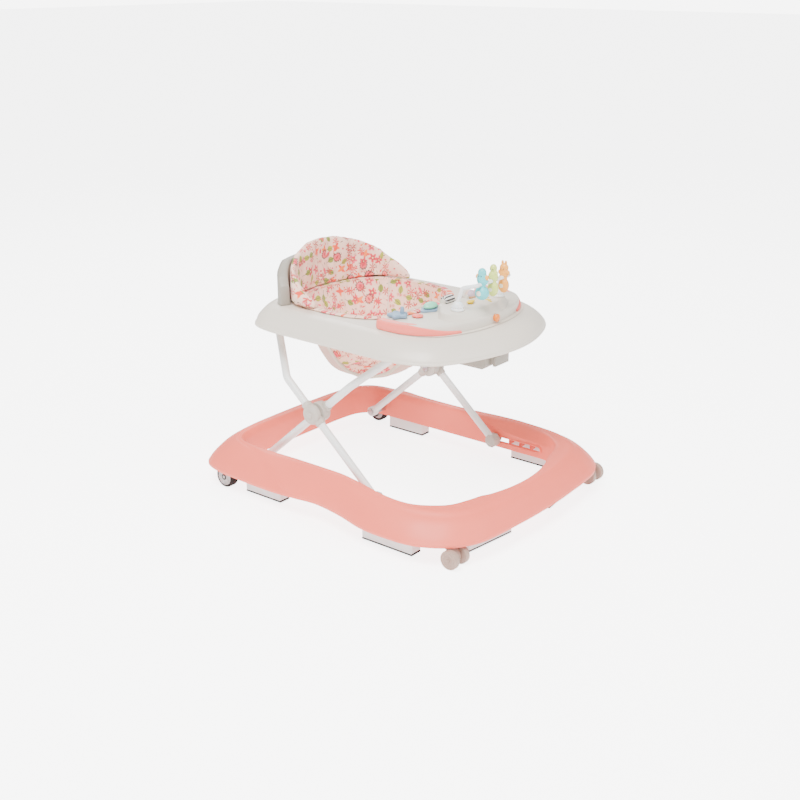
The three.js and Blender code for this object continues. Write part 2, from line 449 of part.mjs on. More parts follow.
// ---------------------------------------------------------------- seat
// backrest edge: [x, |y|, top z] along the outer face of the padding
const BACK = [[-258, 0, 507], [-256.5, 30, 506], [-252, 58, 502], [-240, 93, 492], [-226, 120, 481], [-214, 138, 471], [-199, 152, 460], [-178, 160, 447], [-150, 163, 432], [-124, 161, 416]];
function backCurve() {
  const half = BACK.map(([x, y, z]) => V(x, y, z));
  const other = half.slice(1).reverse().map((p) => V(p.x, -p.y, p.z));
  return new THREE.CatmullRomCurve3([...other, ...half], false, 'catmullrom', 0.5);
}
const PAD_Z = 402.5, PAD_T = 20;
{
  const curve = backCurve(), n = 26, sections = [];
  for (let i = 0; i <= n; i++) {
    const p = curve.getPoint(i / n), t = curve.getTangent(i / n);
    const nrm = V(t.y, -t.x, 0).normalize();        // points into the seat
    if (nrm.dot(V(-60 - p.x, -p.y, 0)) < 0) nrm.negate();
    const top = Math.max(p.z, PAD_Z + 10), q = (d, z) => [p.x + nrm.x * d, p.y + nrm.y * d, z];
    const T = PAD_T * (0.55 + 0.45 * Math.sin(Math.PI * i / n));
    sections.push([q(0, PAD_Z), q(0, top - 6), q(T * 0.3, top), q(T * 0.7, top - 1), q(T, top - 8), q(T, PAD_Z)]);
  }
  add('backrest_pad', loftStack(sections), FABRIC);
}
// moulded backrest support behind the padding
{
  const outer = [[-269, 0], [-267.5, 45], [-262, 85], [-252, 118], [-238, 145], [-222, 163], [-205, 172]];
  const curve = new THREE.CatmullRomCurve3([...outer.slice(1).reverse().map(([x, y]) => V(x, -y, 0)), ...outer.map(([x, y]) => V(x, y, 0))], false, 'catmullrom', 0.5);
  const inner = backCurve(), n = 22, sections = [];
  for (let i = 0; i <= n; i++) {
    const o = curve.getPoint(i / n);
    const f = Math.abs(i / n - 0.5) * 2;
    // nearest place on the padding's outer face
    let best = null, bd = 1e9;
    for (let k = 0; k <= 200; k++) { const q = inner.getPoint(k / 200), d = Math.hypot(q.x - o.x, q.y - o.y); if (d < bd) { bd = d; best = q; } }
    const p = push([best.x, best.y], [o.x, o.y], 1.2);
    const top = Math.min(479, best.z - 7) - 13 * smooth(f, 0.86, 1.0), z0 = TRAY_TOP_Z + GAP;
    sections.push([[p[0], p[1], z0], [p[0], p[1], top], [(p[0] + o.x) / 2, (p[1] + o.y) / 2, top + 1.5], [o.x, o.y, top - 4], [o.x, o.y, z0]]);
  }
  add('backrest_support', loftStack(sections), GREY);
}
// fabric sling with two leg openings
{
  const N = 28, at2 = (i, z, grow, cx = -98, k = 1) => {
    const h = at(HOLE, i, N), c = [cx, 0];
    const l = Math.hypot(h[0] - c[0], h[1] - c[1]);
    const f = (l * k + grow) / l;
    return [c[0] + (h[0] - c[0]) * f, c[1] + (h[1] - c[1]) * f, z];
  };
  const ring = (z, grow, k = 1) => Array.from({ length: N }, (_, i) => at2(i, z, grow, -98, k));
  const sling = solid(loftStack([
    ring(SEAT_BOTTOM_Z, 0, 0.30), ring(SEAT_BOTTOM_Z + 5, 0, 0.48), ring(266, 0, 0.63), ring(305, 0, 0.80), ring(352, 0, 0.93), ring(TRAY_TOP_Z - 24, -1),
    ring(TRAY_TOP_Z + 0.5, -1), ring(TRAY_TOP_Z + 0.5, 11), ring(TRAY_TOP_Z + 3.6, 11), ring(TRAY_TOP_Z + 3.6, -5),
    ring(TRAY_TOP_Z - 24, -5), ring(352, -4.5, 0.93), ring(305, -4.5, 0.80), ring(270, -4.5, 0.63), ring(SEAT_BOTTOM_Z + 9.5, -3, 0.48), ring(SEAT_BOTTOM_Z + 4.5, 0, 0.30)]));
  const leg = circle(1, 18, 0, 0).map(([a, b]) => [-60 + 78 * a, 308 + 52 * b]);
  let seat = sling.subtract(solid(prismY(leg, 34, 200))).subtract(solid(prismY(leg, -200, -34)));
  add('seat_sling', toGeometry(seat), FABRIC);
}

// ---------------------------------------------------------------- console
function stackXY(rings) {        // rings with flat, possibly concave, ends
  const n = rings.length, m = rings[0].length, pos = [], idx = [];
  for (const r of rings) for (const p of r) pos.push(...p);
  for (let i = 0; i + 1 < n; i++) for (let j = 0; j < m; j++) {
    const j2 = (j + 1) % m;
    idx.push(i * m + j, (i + 1) * m + j2, i * m + j2, i * m + j, (i + 1) * m + j, (i + 1) * m + j2);
  }
  const faces = (ring) => THREE.ShapeUtils.triangulateShape(ring.map((p) => new THREE.Vector2(p[0], p[1])), []);
  const o = (n - 1) * m;
  // outlines run clockwise seen from above; triangulateShape's triangles turn the other way
  for (const [a, b, c] of faces(rings[0])) idx.push(a, c, b);
  for (const [a, b, c] of faces(rings[n - 1])) idx.push(o + a, o + b, o + c);
  const g = new THREE.BufferGeometry();
  g.setAttribute('position', new THREE.BufferAttribute(new Float32Array(pos), 3));
  g.setIndex(idx);
  return clean(g);
}
const inset = (curve, n, z, d) => Array.from({ length: n }, (_, i) => {
  const p = curve.getPoint(i / n), t = curve.getTangent(i / n);
  return [p.x + t.y * d, p.y - t.x * d, z];
});
// the raised part's front wall leans back
const lean = (row, d) => row.map(([x, y, z]) => [x - d * smooth(x, 150, 198), y, z]);
const CONSOLE_LINE = outline([[75, 0], [78, 50], [83, 92], [74, 120], [60, 140], [48, 155], [46, 168], [56, 175.5], [82, 178], [114, 175.5], [148, 163], [174, 140], [192, 107], [203, 70], [209, 35], [210, 0]]);
const HUMP_LINE = outline([[104, 0], [103, 38], [107, 54], [120, 67], [132, 84], [146, 98], [164, 96], [184, 78], [198, 46], [203, 0]]);
const CN = 44, HN = 30;
const lift = new THREE.Group();                 // everything that lifts off with the console
walker.add(lift);
const onConsole = (name, g, m) => add(name, g, m, lift);
let consoleBody = solid(stackXY([inset(CONSOLE_LINE, CN, CONSOLE_Z, 3.8), inset(CONSOLE_LINE, CN, CONSOLE_DECK_Z - 3, 3.8), inset(CONSOLE_LINE, CN, CONSOLE_DECK_Z, 6)]))
  .add(solid(stackXY([inset(HUMP_LINE, HN, CONSOLE_DECK_Z - 4, 0), lean(inset(HUMP_LINE, HN, CONSOLE_HUMP_Z - 5, 1), 4), lean(inset(HUMP_LINE, HN, CONSOLE_HUMP_Z, 5), 9)])));

// wells for the toys: [x, y, r, depth below the surface]
const MINT = { x: 92, y: -58, z: CONSOLE_DECK_Z };
const PINKB = { x: 104, y: -115 };
const KNOB = { x: 75, y: -139 };
const LEAF = { x: 156, y: -12 };
const SPIN = { x: 112, y: -28, z: 435 };
const ROLL = { x: 125, y: 30.5, z: 434, r: 11.2 };
const cutZ = (r, x, y, z0, z1 = 460, sides = 12) => { consoleBody = consoleBody.subtract(solid(cylZ(r, z0, z1, x, y, sides))); };
cutZ(6.4, MINT.x, MINT.y, CONSOLE_DECK_Z - 10);
cutZ(8.4, PINKB.x, PINKB.y, CONSOLE_DECK_Z - 6);
cutZ(5.4, KNOB.x, KNOB.y, CONSOLE_DECK_Z - 10);
cutZ(5.4, LEAF.x, LEAF.y, CONSOLE_HUMP_Z - 10);
cutZ(7.2, ARCH_X, -ARCH_Y, CONSOLE_HUMP_Z - 12);
cutZ(7.2, ARCH_X, ARCH_Y, CONSOLE_HUMP_Z - 12);
// cradle under the roller, pocket under the spinner, release button bore
consoleBody = consoleBody.subtract(solid(box(ROLL.x - 12, ROLL.x + 12, ROLL.y - 16, ROLL.y + 16, 422, 460)));
consoleBody = consoleBody.subtract(solid(box(SPIN.x - 11, SPIN.x + 11, SPIN.y - 17.5, SPIN.y + 17.5, 424, 460)));
// cheeks that carry the two axles
for (const [x, y, z, a, b, low] of [[ROLL.x, ROLL.y, ROLL.z, 11.8, 16.4, 421], [SPIN.x, SPIN.y, SPIN.z, 14, 18, 423]])
  for (const s of [1, -1]) {
    const cheek = [[-5.5, low], [-5.5, z - 1], [-3.5, z + 4], [3.5, z + 4], [5.5, z - 1], [5.5, low]].map(([p, q]) => [x + p, q]).reverse();
    consoleBody = consoleBody.add(solid(s > 0 ? prismY(cheek, y + a, y + b) : prismY(cheek, y - b, y - a)));
  }
for (const [x, y, z] of [[ROLL.x, ROLL.y, ROLL.z], [SPIN.x, SPIN.y, SPIN.z]]) consoleBody = consoleBody.subtract(solid(cylY(2.8, y - 30, y + 30, x, z, 8)));
const cylX = (r, x0, x1, y, z, sides = 10) => { const g = new THREE.CylinderGeometry(r, r, x1 - x0, sides); g.rotateZ(Math.PI / 2); return clean(g.translate((x0 + x1) / 2, y, z)); };
const REL = { y: 0, z: 409, r: 6.5 };
consoleBody = consoleBody.subtract(solid(cylX(REL.r + 0.4, 192, 225, REL.y, REL.z)));
// locating feet drop through the tray's rim at the front of the seat opening
onConsole('console_body', toGeometry(consoleBody), CONSOLE);

// coloured bumper round each end of the console
for (const [side, s] of [['left', 1], ['right', -1]]) {
  const i0 = 9, i1 = 23, secs = [];                // stations on the left half
  for (let i = i0; i <= i1; i += 1) {
    const u = i / 60, p = CONSOLE_LINE.getPoint(u), t = CONSOLE_LINE.getTangent(u);
    const top = CONSOLE_DECK_Z - 3.5 - 12 * smooth(i, 16, i1), q = (d, z) => [p.x + t.y * d, s * (p.y - t.x * d), z];
    secs.push([q(3.4 - GAP, CONSOLE_Z), q(3.4 - GAP, top), q(1.2, top), q(0, top - 2.5), q(0, CONSOLE_Z)]);
  }
  onConsole(`console_bumper_${side}`, loftStack(secs), TRIM);
}

// toy arch: a bar on two ball feet, leaning out over the console's front
{
  const half = [V(ARCH_X, ARCH_Y, CONSOLE_HUMP_Z - 11), V(ARCH_X, ARCH_Y, 447), V(174, 66, 476), V(BAR_X, 57, BAR_Z)];
  const pts = bendPath([...half.map((p) => V(p.x, -p.y, p.z)), ...half.reverse()], 9, 3);
  let arch = solid(tube(pts, ARCH_R, 8));
  for (const s of [1, -1]) {
    const ball = new THREE.SphereGeometry(9.5, 10, 6); ball.rotateX(Math.PI / 2);
    arch = arch.add(solid(ball.translate(ARCH_X, s * ARCH_Y, CONSOLE_HUMP_Z + 10))).add(solid(cylZ(6.6, CONSOLE_HUMP_Z - 11.5, CONSOLE_HUMP_Z + 6, ARCH_X, s * ARCH_Y, 10)));
  }
  onConsole('toy_arch', toGeometry(arch), WHITE);
}
// three figures threaded on the arch, heavier below the bar
const figure = (y, parts, half) => {
  let m = null;
  for (const [kind, dx, dz, rx, rz, ry] of parts) {
    const g = new THREE.SphereGeometry(1, 9, 6); g.rotateX(Math.PI / 2); g.scale(rx, ry ?? half, rz);
    const part = solid(g.translate(BAR_X + dx, y, BAR_Z + dz));
    m = m ? m.add(part) : part;
  }
  return toGeometry(m.subtract(solid(cylY(ARCH_R + 0.7, y - 30, y + 30, BAR_X, BAR_Z, 12))));
};
onConsole('toy_bear', figure(-37, [['', 0, -17, 15, 14.5, 12.5], ['', 0, 12.5, 11.5, 19.5, 9.5], ['', -10, 14, 4.5, 5.5, 4.5], ['', 10, 14, 4.5, 5.5, 4.5]]), TEAL);
onConsole('toy_bird', figure(0, [['', 0, -16, 12, 16, 10], ['', 0, 7, 10.5, 14, 9], ['', 0, 24, 7.5, 8.6, 7]]), LIME);
onConsole('toy_fox', figure(37, [['', 0, -17, 11.5, 15.5, 10], ['', 0, 5, 9.5, 11, 8.5], ['', 0, 20, 9.5, 12, 8], ['', -9, 9, 5, 5.5, 4.5], ['', 9, 9, 5, 5.5, 4.5]]), ORANGE);

// roller, spinner, buttons, knob
{
  const g = new THREE.SphereGeometry(ROLL.r, 12, 7);
  let m = solid(g.translate(ROLL.x, ROLL.y, ROLL.z)).add(solid(cylY(2.4, ROLL.y - 15.6, ROLL.y + 15.6, ROLL.x, ROLL.z, 8)));
  onConsole('roller_ball', toGeometry(m), ORANGE);
  const drum = turnedY([[0, -17], [2.4, -17], [2.4, -13.5], [8.5, -13.5], [9.5, 0], [8.5, 13.5], [2.4, 13.5], [2.4, 17], [0, 17]], 10, SPIN.x, SPIN.y, SPIN.z);
  onConsole('striped_spinner', drum, DARK);
  const plate = [];
  for (let i = 0; i < 28; i++) { const a = 2 * Math.PI * i / 28, r = 26 + 3 * Math.cos(4 * a); plate.push([MINT.x + 0.62 * r * Math.cos(a), MINT.y + r * Math.sin(a)]); }
  onConsole('button_plate', toGeometry(solid(prismZ(plate, CONSOLE_DECK_Z + GAP, CONSOLE_DECK_Z + 4)).subtract(solid(cylZ(6.4, 400, 440, MINT.x, MINT.y)))
    .subtract(solid(box(SPIN.x - 30, SPIN.x + 30, SPIN.y - 17.5, SPIN.y + 30, 400, 440)).subtract(solid(box(0, SPIN.x - 20, -90, 90, 400, 440)))).subtract(consoleBody)), SLATE);
  const dome = (x, y, z, rx, ry, h, stem, depth) => {
    const s = new THREE.SphereGeometry(1, 12, 7); s.rotateX(Math.PI / 2); s.scale(rx, ry, h); s.translate(x, y, z);
    return toGeometry(solid(s).intersect(solid(box(x - 60, x + 60, y - 60, y + 60, z, z + 40))).add(solid(cylZ(stem, z - depth, z + 1, x, y, 10))));
  };
  onConsole('mint_button', dome(MINT.x, MINT.y, CONSOLE_DECK_Z + 7.5, 12, 18, 9, 5.8, 13), MINT_COL);
  onConsole('pink_button', dome(PINKB.x, PINKB.y, CONSOLE_DECK_Z + 2.6, 12.5, 11.5, 4, 7.8, 5), TRIM);
  onConsole('leaf_button', dome(LEAF.x, LEAF.y, CONSOLE_HUMP_Z + 3, 7, 10.5, 3, 4.8, 9), YELLOW);
  const star = [];
  for (let i = 0; i < 30; i++) { const a = 2 * Math.PI * i / 30, r = 18.5 + 3.2 * Math.cos(5 * a); star.push([KNOB.x + r * Math.cos(a), KNOB.y + r * Math.sin(a)]); }
  onConsole('star_knob', toGeometry(solid(prismZ(star, CONSOLE_DECK_Z + 1, CONSOLE_DECK_Z + 8)).add(solid(cylZ(4.8, CONSOLE_DECK_Z - 9, CONSOLE_DECK_Z + 3, KNOB.x, KNOB.y, 12)))
    .add(solid(prismZ([[KNOB.x + 2, KNOB.y + 2], [KNOB.x + 11, KNOB.y + 2], [KNOB.x + 11, KNOB.y + 8], [KNOB.x + 2, KNOB.y + 8]], CONSOLE_DECK_Z + 6, CONSOLE_DECK_Z + 21)))), SLATE);
  const rel = solid(cylX(REL.r, 195, 214, REL.y, REL.z)).add(solid(new THREE.SphereGeometry(REL.r + 1.5, 12, 7).scale(0.45, 1, 1).translate(214, REL.y, REL.z)).intersect(solid(box(210.6, 225, -20, 20, 395, 425))));
  onConsole('release_button', toGeometry(rel), AMBER);
}

export default walker;
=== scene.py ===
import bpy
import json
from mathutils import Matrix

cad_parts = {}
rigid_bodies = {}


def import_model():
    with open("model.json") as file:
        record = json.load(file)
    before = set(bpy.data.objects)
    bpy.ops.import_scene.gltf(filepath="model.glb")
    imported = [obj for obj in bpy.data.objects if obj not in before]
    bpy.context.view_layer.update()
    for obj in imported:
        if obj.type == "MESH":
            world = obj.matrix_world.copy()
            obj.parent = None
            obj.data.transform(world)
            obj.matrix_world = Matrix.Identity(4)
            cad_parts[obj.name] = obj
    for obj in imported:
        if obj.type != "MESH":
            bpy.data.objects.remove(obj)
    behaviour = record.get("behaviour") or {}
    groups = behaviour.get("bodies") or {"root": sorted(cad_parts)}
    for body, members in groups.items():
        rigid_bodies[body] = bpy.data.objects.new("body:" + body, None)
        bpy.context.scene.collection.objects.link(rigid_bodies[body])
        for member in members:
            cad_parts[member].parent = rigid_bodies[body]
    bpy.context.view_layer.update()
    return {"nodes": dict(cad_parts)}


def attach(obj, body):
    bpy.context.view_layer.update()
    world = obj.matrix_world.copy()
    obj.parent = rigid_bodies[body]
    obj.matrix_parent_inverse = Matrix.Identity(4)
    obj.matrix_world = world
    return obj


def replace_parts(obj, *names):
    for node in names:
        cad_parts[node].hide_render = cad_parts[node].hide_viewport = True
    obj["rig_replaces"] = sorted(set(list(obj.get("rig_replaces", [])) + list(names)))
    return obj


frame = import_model()

import json
import math

import bmesh
import bpy
import numpy as np
from mathutils import Matrix, Vector, noise
from mathutils.bvhtree import BVHTree

scene = bpy.context.scene
SX = 23.0          # the outlines below are in millimetres, 23 behind the row frame's origin
NODES = frame["nodes"]
for _o in list(scene.objects):
    if _o.name not in NODES and _o.type in ("MESH", "LIGHT", "CAMERA"):
        bpy.data.objects.remove(_o)


WORLD, FLOOR, KEY, FILL, BACKL = 0.75, 1.25, 160.0, 34.0, 48.0


# ------------------------------------------------------------------ materials
def lin(*rgb):
    out = []
    for c in rgb:
        c = c / 255
        out.append(c / 12.92 if c <= 0.04045 else ((c + 0.055) / 1.055) ** 2.4)
    return (*out, 1.0)


class Net:
    """Short names for shader nodes."""

    def __init__(self, name):
        self.mat = bpy.data.materials.new(name)
        self.mat.use_nodes = True
        self.nt = self.mat.node_tree
        self.b = self.nt.nodes["Principled BSDF"]

    def put(self, sock, v):
        if isinstance(v, bpy.types.NodeSocket):
            self.nt.links.new(v, sock)
        else:
            sock.default_value = v

    def node(self, kind, **props):
        n = self.nt.nodes.new(kind)
        for k, v in props.items():
            setattr(n, k, v)
        return n

    def m(self, op, a, b=0.0, c=0.0, clamp=False):
        n = self.node("ShaderNodeMath", operation=op, use_clamp=clamp)
        self.put(n.inputs[0], a)
        self.put(n.inputs[1], b)
        if len(n.inputs) > 2:
            self.put(n.inputs[2], c)
        return n.outputs[0]

    def v(self, op, a, b=(0, 0, 0), scale=None):
        n = self.node("ShaderNodeVectorMath", operation=op)
        self.put(n.inputs[0], a)
        if op not in ("LENGTH", "SCALE", "NORMALIZE"):
            self.put(n.inputs[1], b)
        if scale is not None:
            self.put(n.inputs["Scale"], scale)
        return n.outputs["Value"] if op in ("LENGTH", "DOT_PRODUCT") else n.outputs[0]

    def coords(self):
        return self.node("ShaderNodeTexCoord").outputs["Object"]

    def noise(self, vec, scale, detail=2.0, rough=0.5, dist=0.0):
        n = self.node("ShaderNodeTexNoise")
        self.put(n.inputs["Vector"], vec)
        n.inputs["Scale"].default_value = scale
        n.inputs["Detail"].default_value = detail
        n.inputs["Roughness"].default_value = rough
        n.inputs["Distortion"].default_value = dist
        return n.outputs["Fac"]

    def mix(self, fac, a, b):
        n = self.node("ShaderNodeMix", data_type="RGBA")
        self.put(n.inputs[0], fac)
        self.put(n.inputs[6], a)
        self.put(n.inputs[7], b)
        return n.outputs[2]

    def remap(self, v, a, b, c, d):
        n = self.node("ShaderNodeMapRange")
        self.put(n.inputs[0], v)
        for i, x in enumerate((a, b, c, d)):
            self.put(n.inputs[1 + i], x)
        return n.outputs[0]

    def bump(self, height, strength, dist, normal=None):
        n = self.node("ShaderNodeBump")
        self.put(n.inputs["Height"], height)
        n.inputs["Strength"].default_value = strength
        n.inputs["Distance"].default_value = dist
        if normal is not None:
            self.put(n.inputs["Normal"], normal)
        return n.outputs["Normal"]

    def set(self, **kw):
        for k, v in kw.items():
            self.put(self.b.inputs[k.replace("_", " ")], v)
        return self.mat


def plastic(name, rgb, rough=0.42, grain=0.25, vary=0.05, sub=0.0, sheen=0.0, coat=0.0):
    n = Net(name)
    c = n.coords()
    base = lin(*rgb)
    dark = tuple(x * (1 - vary) for x in base[:3]) + (1,)
    light = tuple(min(1, x * (1 + vary * 0.6)) for x in base[:3]) + (1,)
    broad = n.noise(c, 7.0, 3)
    col = n.mix(n.remap(broad, 0.3, 0.7, 0, 1), dark, light)
    smudge = n.noise(c, 38.0, 4, 0.6)
    fine = n.noise(c, 2600.0, 2, 0.6)
    wave = n.noise(c, 26.0, 2)
    nrm = n.bump(wave, 0.06, 0.0016, n.bump(fine, grain, 0.00012))
    n.set(Base_Color=col, Roughness=n.remap(smudge, 0.3, 0.75, rough - 0.06, rough + 0.1), Normal=nrm)
    n.b.inputs["IOR"].default_value = 1.47
    n.b.inputs["Coat Weight"].default_value = coat
    n.b.inputs["Coat Roughness"].default_value = 0.2
    if sub:
        n.b.inputs["Subsurface Weight"].default_value = sub
        n.b.inputs["Subsurface Radius"].default_value = (0.004, 0.003, 0.0025)
    if sheen:
        n.b.inputs["Sheen Weight"].default_value = sheen
    return n.mat


def metal(name, rgb, rough=0.3, metallic=1.0):
    n = Net(name)
    c = n.coords()
    base = lin(*rgb)
    streak = n.noise(n.v("MULTIPLY", c, (400, 4000, 400)), 1.0, 3)
    col = n.mix(n.remap(streak, 0.3, 0.7, 0, 1), tuple(x * 0.86 for x in base[:3]) + (1,), base)
    n.set(Base_Color=col, Metallic=metallic, Roughness=n.remap(streak, 0.3, 0.7, rough - 0.05, rough + 0.12), Normal=n.bump(streak, 0.15, 0.0001))
    return n.mat


def rubber(name, rgb, rough=0.78):
    n = Net(name)
    c = n.coords()
    base = lin(*rgb)
    dust = n.noise(c, 60.0, 5, 0.65)
    col = n.mix(n.remap(dust, 0.45, 0.8, 0, 0.5), base, lin(96, 90, 86))
    n.set(Base_Color=col, Roughness=n.remap(dust, 0.3, 0.8, rough - 0.1, 0.95), Normal=n.bump(n.noise(c, 1900.0, 3), 0.4, 0.0002))
    n.b.inputs["Specular IOR Level"].default_value = 0.35
    return n.mat


def sstep(n, edge, width):
    """1 where edge > 0, with a soft border."""
    return n.remap(edge, -width, width, 0.0, 1.0)


def fabric(name, ground, printed=True, scale=1.0):
    """Woven cloth. The print is leaves, blossoms and berries scattered over it."""
    n = Net(name)
    uv = n.node("ShaderNodeUVMap", uv_map="cloth").outputs["UV"]
    xyz = n.coords()
    base = n.mix(n.remap(n.noise(xyz, 16.0, 3), 0.3, 0.7, 0, 1), tuple(x * 0.95 for x in lin(*ground)[:3]) + (1,), lin(*ground))
    col = base

    def layer(col, cell, shift, kinds, jitter=0.8, size=1.0):
        p = n.v("ADD", n.v("SCALE", uv, scale=1000.0 / cell), (*shift, 0))
        vo = n.node("ShaderNodeTexVoronoi", voronoi_dimensions="2D", feature="F1")
        n.put(vo.inputs["Vector"], p)
        vo.inputs["Scale"].default_value = 1.0
        vo.inputs["Randomness"].default_value = jitter
        d = n.v("SUBTRACT", p, vo.outputs["Position"])
        sx = n.node("ShaderNodeSeparateXYZ")
        n.put(sx.inputs[0], d)
        dx, dy = sx.outputs[0], sx.outputs[1]
        sc = n.node("ShaderNodeSeparateColor")
        n.put(sc.inputs[0], vo.outputs["Color"])
        r, g, b = sc.outputs[0], sc.outputs[1], sc.outputs[2]
        ang = n.m("MULTIPLY", r, 6.283)
        ca, sa = n.m("COSINE", ang), n.m("SINE", ang)
        x = n.m("ADD", n.m("MULTIPLY", dx, ca), n.m("MULTIPLY", dy, sa))
        y = n.m("SUBTRACT", n.m("MULTIPLY", dy, ca), n.m("MULTIPLY", dx, sa))
        x, y = n.m("MULTIPLY", x, 1 / size), n.m("MULTIPLY", y, 1 / size)
        rad = n.m("SQRT", n.m("ADD", n.m("MULTIPLY", x, x), n.m("MULTIPLY", y, y)))
        phi = n.m("ARCTAN2", y, x)

        def petals(k, r0, r1):
            return n.m("SUBTRACT", n.m("ADD", r0, n.m("MULTIPLY", n.m("COSINE", n.m("MULTIPLY", phi, k)), r1)), rad)

        def leaf(x, y, ln, w, cx=0.0):
            xx = n.m("SUBTRACT", x, cx)
            q = n.m("DIVIDE", xx, ln)
            body = n.m("MULTIPLY", w, n.m("SUBTRACT", 1.0, n.m("MULTIPLY", q, q)))
            return n.m("SUBTRACT", body, n.m("ABSOLUTE", y))

        def band(v, lo, hi):
            return n.m("MULTIPLY", n.m("GREATER_THAN", v, lo), n.m("LESS_THAN", v, hi))

        def put(col, when, edge, a, bcol=None, width=0.02):
            shade = a if bcol is None else n.mix(n.m("GREATER_THAN", b, 0.5), a, bcol)
            return n.mix(n.m("MULTIPLY", when, sstep(n, edge, width)), col, shade)

        lo = 0.0
        for kind, share in kinds:
            w = band(g, lo, lo + share)
            lo += share
            if kind == "blossom":
                col = put(col, w, petals(5, 0.27, 0.09), lin(226, 48, 66), lin(240, 92, 112))
                col = put(col, w, petals(5, 0.15, 0.05), lin(178, 14, 44), lin(196, 30, 40))
                col = put(col, w, n.m("SUBTRACT", 0.06, rad), lin(250, 214, 150))
            elif kind == "spray":      # a thin many-armed sprig
                col = put(col, w, petals(7, 0.17, 0.17), lin(214, 36, 32), lin(190, 44, 40))
            elif kind == "pinkleaf":
                col = put(col, w, leaf(x, y, 0.36, 0.13), lin(244, 84, 104), lin(226, 50, 56))
                col = put(col, w, n.m("MULTIPLY", 1.0, n.m("SUBTRACT", 0.012, n.m("ABSOLUTE", y))), lin(190, 60, 74), width=0.008)
            elif kind == "olive":
                stem = n.m("MINIMUM", n.m("SUBTRACT", 0.016, n.m("ABSOLUTE", y)), n.m("SUBTRACT", 0.44, n.m("ABSOLUTE", n.m("SUBTRACT", x, 0.1))))
                col = put(col, w, leaf(x, y, 0.3, 0.2, -0.04), lin(164, 170, 30), lin(132, 148, 28))
                col = put(col, w, stem, lin(66, 50, 28), width=0.01)
            elif kind == "tulip":
                y1 = n.m("ADD", n.m("MULTIPLY", y, 0.8), n.m("MULTIPLY", x, 0.55))
                y2 = n.m("SUBTRACT", n.m("MULTIPLY", y, 0.8), n.m("MULTIPLY", x, 0.55))
                col = put(col, w, leaf(x, y1, 0.32, 0.12), lin(240, 66, 14), lin(250, 98, 24))
                col = put(col, w, leaf(x, y2, 0.32, 0.12), lin(252, 122, 40), lin(236, 58, 14))
            elif kind == "ring":       # rounded bloom inside a dark fringe
                col = put(col, w, n.m("SUBTRACT", petals(13, 0.34, 0.05), 0.0), lin(58, 12, 12), lin(80, 18, 18))
                col = put(col, w, n.m("SUBTRACT", 0.26, rad), lin(250, 120, 110), lin(244, 88, 100))
                col = put(col, w, leaf(x, y, 0.16, 0.07), lin(206, 20, 58))
            elif kind == "berry":
                col = put(col, w, n.m("SUBTRACT", 0.14, rad), lin(214, 26, 60), lin(240, 82, 24))
            elif kind == "tick":
                col = put(col, w, leaf(x, y, 0.3, 0.07), lin(96, 24, 22), lin(160, 156, 30))
        return col

    if printed:
        col = layer(col, 13.0, (0.31, 0.57), [("berry", 0.14), ("tick", 0.2), ("pinkleaf", 0.26), ("spray", 0.16)], 0.9, 1.05)
        col = layer(col, 25.0, (3.7, 1.3), [("blossom", 0.18), ("spray", 0.26), ("olive", 0.2), ("tulip", 0.12), ("ring", 0.14)], 0.7, 1.28)
        col = layer(col, 33.0, (9.2, 6.1), [("spray", 0.16), ("pinkleaf", 0.18), ("ring", 0.1), ("blossom", 0.14), ("olive", 0.14)], 0.85, 0.9)
    # plain weave: two crossed sets of threads, 0.45 mm apart
    sp = n.node("ShaderNodeSeparateXYZ")
    n.put(sp.inputs[0], uv)
    k = 2 * math.pi / 0.00055
    wx, wy = n.m("SINE", n.m("MULTIPLY", sp.outputs[0], k)), n.m("SINE", n.m("MULTIPLY", sp.outputs[1], k))
    weave = n.m("MULTIPLY", wx, wy)
    slub = n.noise(n.v("MULTIPLY", uv, (300, 2600, 1)), 1.0, 2)
    col = n.mix(n.remap(weave, -1, 1, 0, 0.10), col, lin(255, 250, 246))
    col = n.mix(n.remap(slub, 0.55, 0.8, 0, 0.10), col, lin(180, 150, 140))
    nrm = n.bump(weave, 0.25, 0.00015, n.bump(n.noise(xyz, 55.0, 4, 0.6), 0.25, 0.002))
    n.set(Base_Color=col, Roughness=n.remap(slub, 0.3, 0.8, 0.78, 0.95), Normal=nrm)
    n.b.inputs["Sheen Weight"].default_value = 0.25
    n.b.inputs["Sheen Roughness"].default_value = 0.45
    n.b.inputs["Specular IOR Level"].default_value = 0.25
    return n.mat


def banded(name, colours, axis, start, width, rough=0.45, angular=False, centre=(0, 0)):
    """Moulded plastic in colour bands, either across an axis or round it."""
    n = Net(name)
    c = n.coords()
    sp = n.node("ShaderNodeSeparateXYZ")
    n.put(sp.inputs[0], c)
    if angular:
        a = n.m("ARCTAN2", n.m("SUBTRACT", sp.outputs[2], centre[1]), n.m("SUBTRACT", sp.outputs[0], centre[0]))
        t = n.m("MULTIPLY", n.m("ADD", a, math.pi), 1 / width)
    else:
        t = n.m("MULTIPLY", n.m("SUBTRACT", sp.outputs[axis], start), 1 / width)
    t = n.m("FLOORED_MODULO", t, float(len(colours)))
    col = lin(*colours[0])
    for i, rgb in enumerate(colours[1:], 1):
        col = n.mix(sstep(n, n.m("SUBTRACT", t, float(i)), 0.03), col, lin(*rgb))
    fine = n.noise(c, 2400.0, 2)
    col = n.mix(n.remap(n.noise(c, 30.0, 3), 0.3, 0.7, 0.0, 0.08), col, lin(120, 110, 110))
    n.set(Base_Color=col, Roughness=n.remap(n.noise(c, 60.0, 3), 0.3, 0.7, rough - 0.06, rough + 0.08), Normal=n.bump(fine, 0.2, 0.0001))
    return n.mat


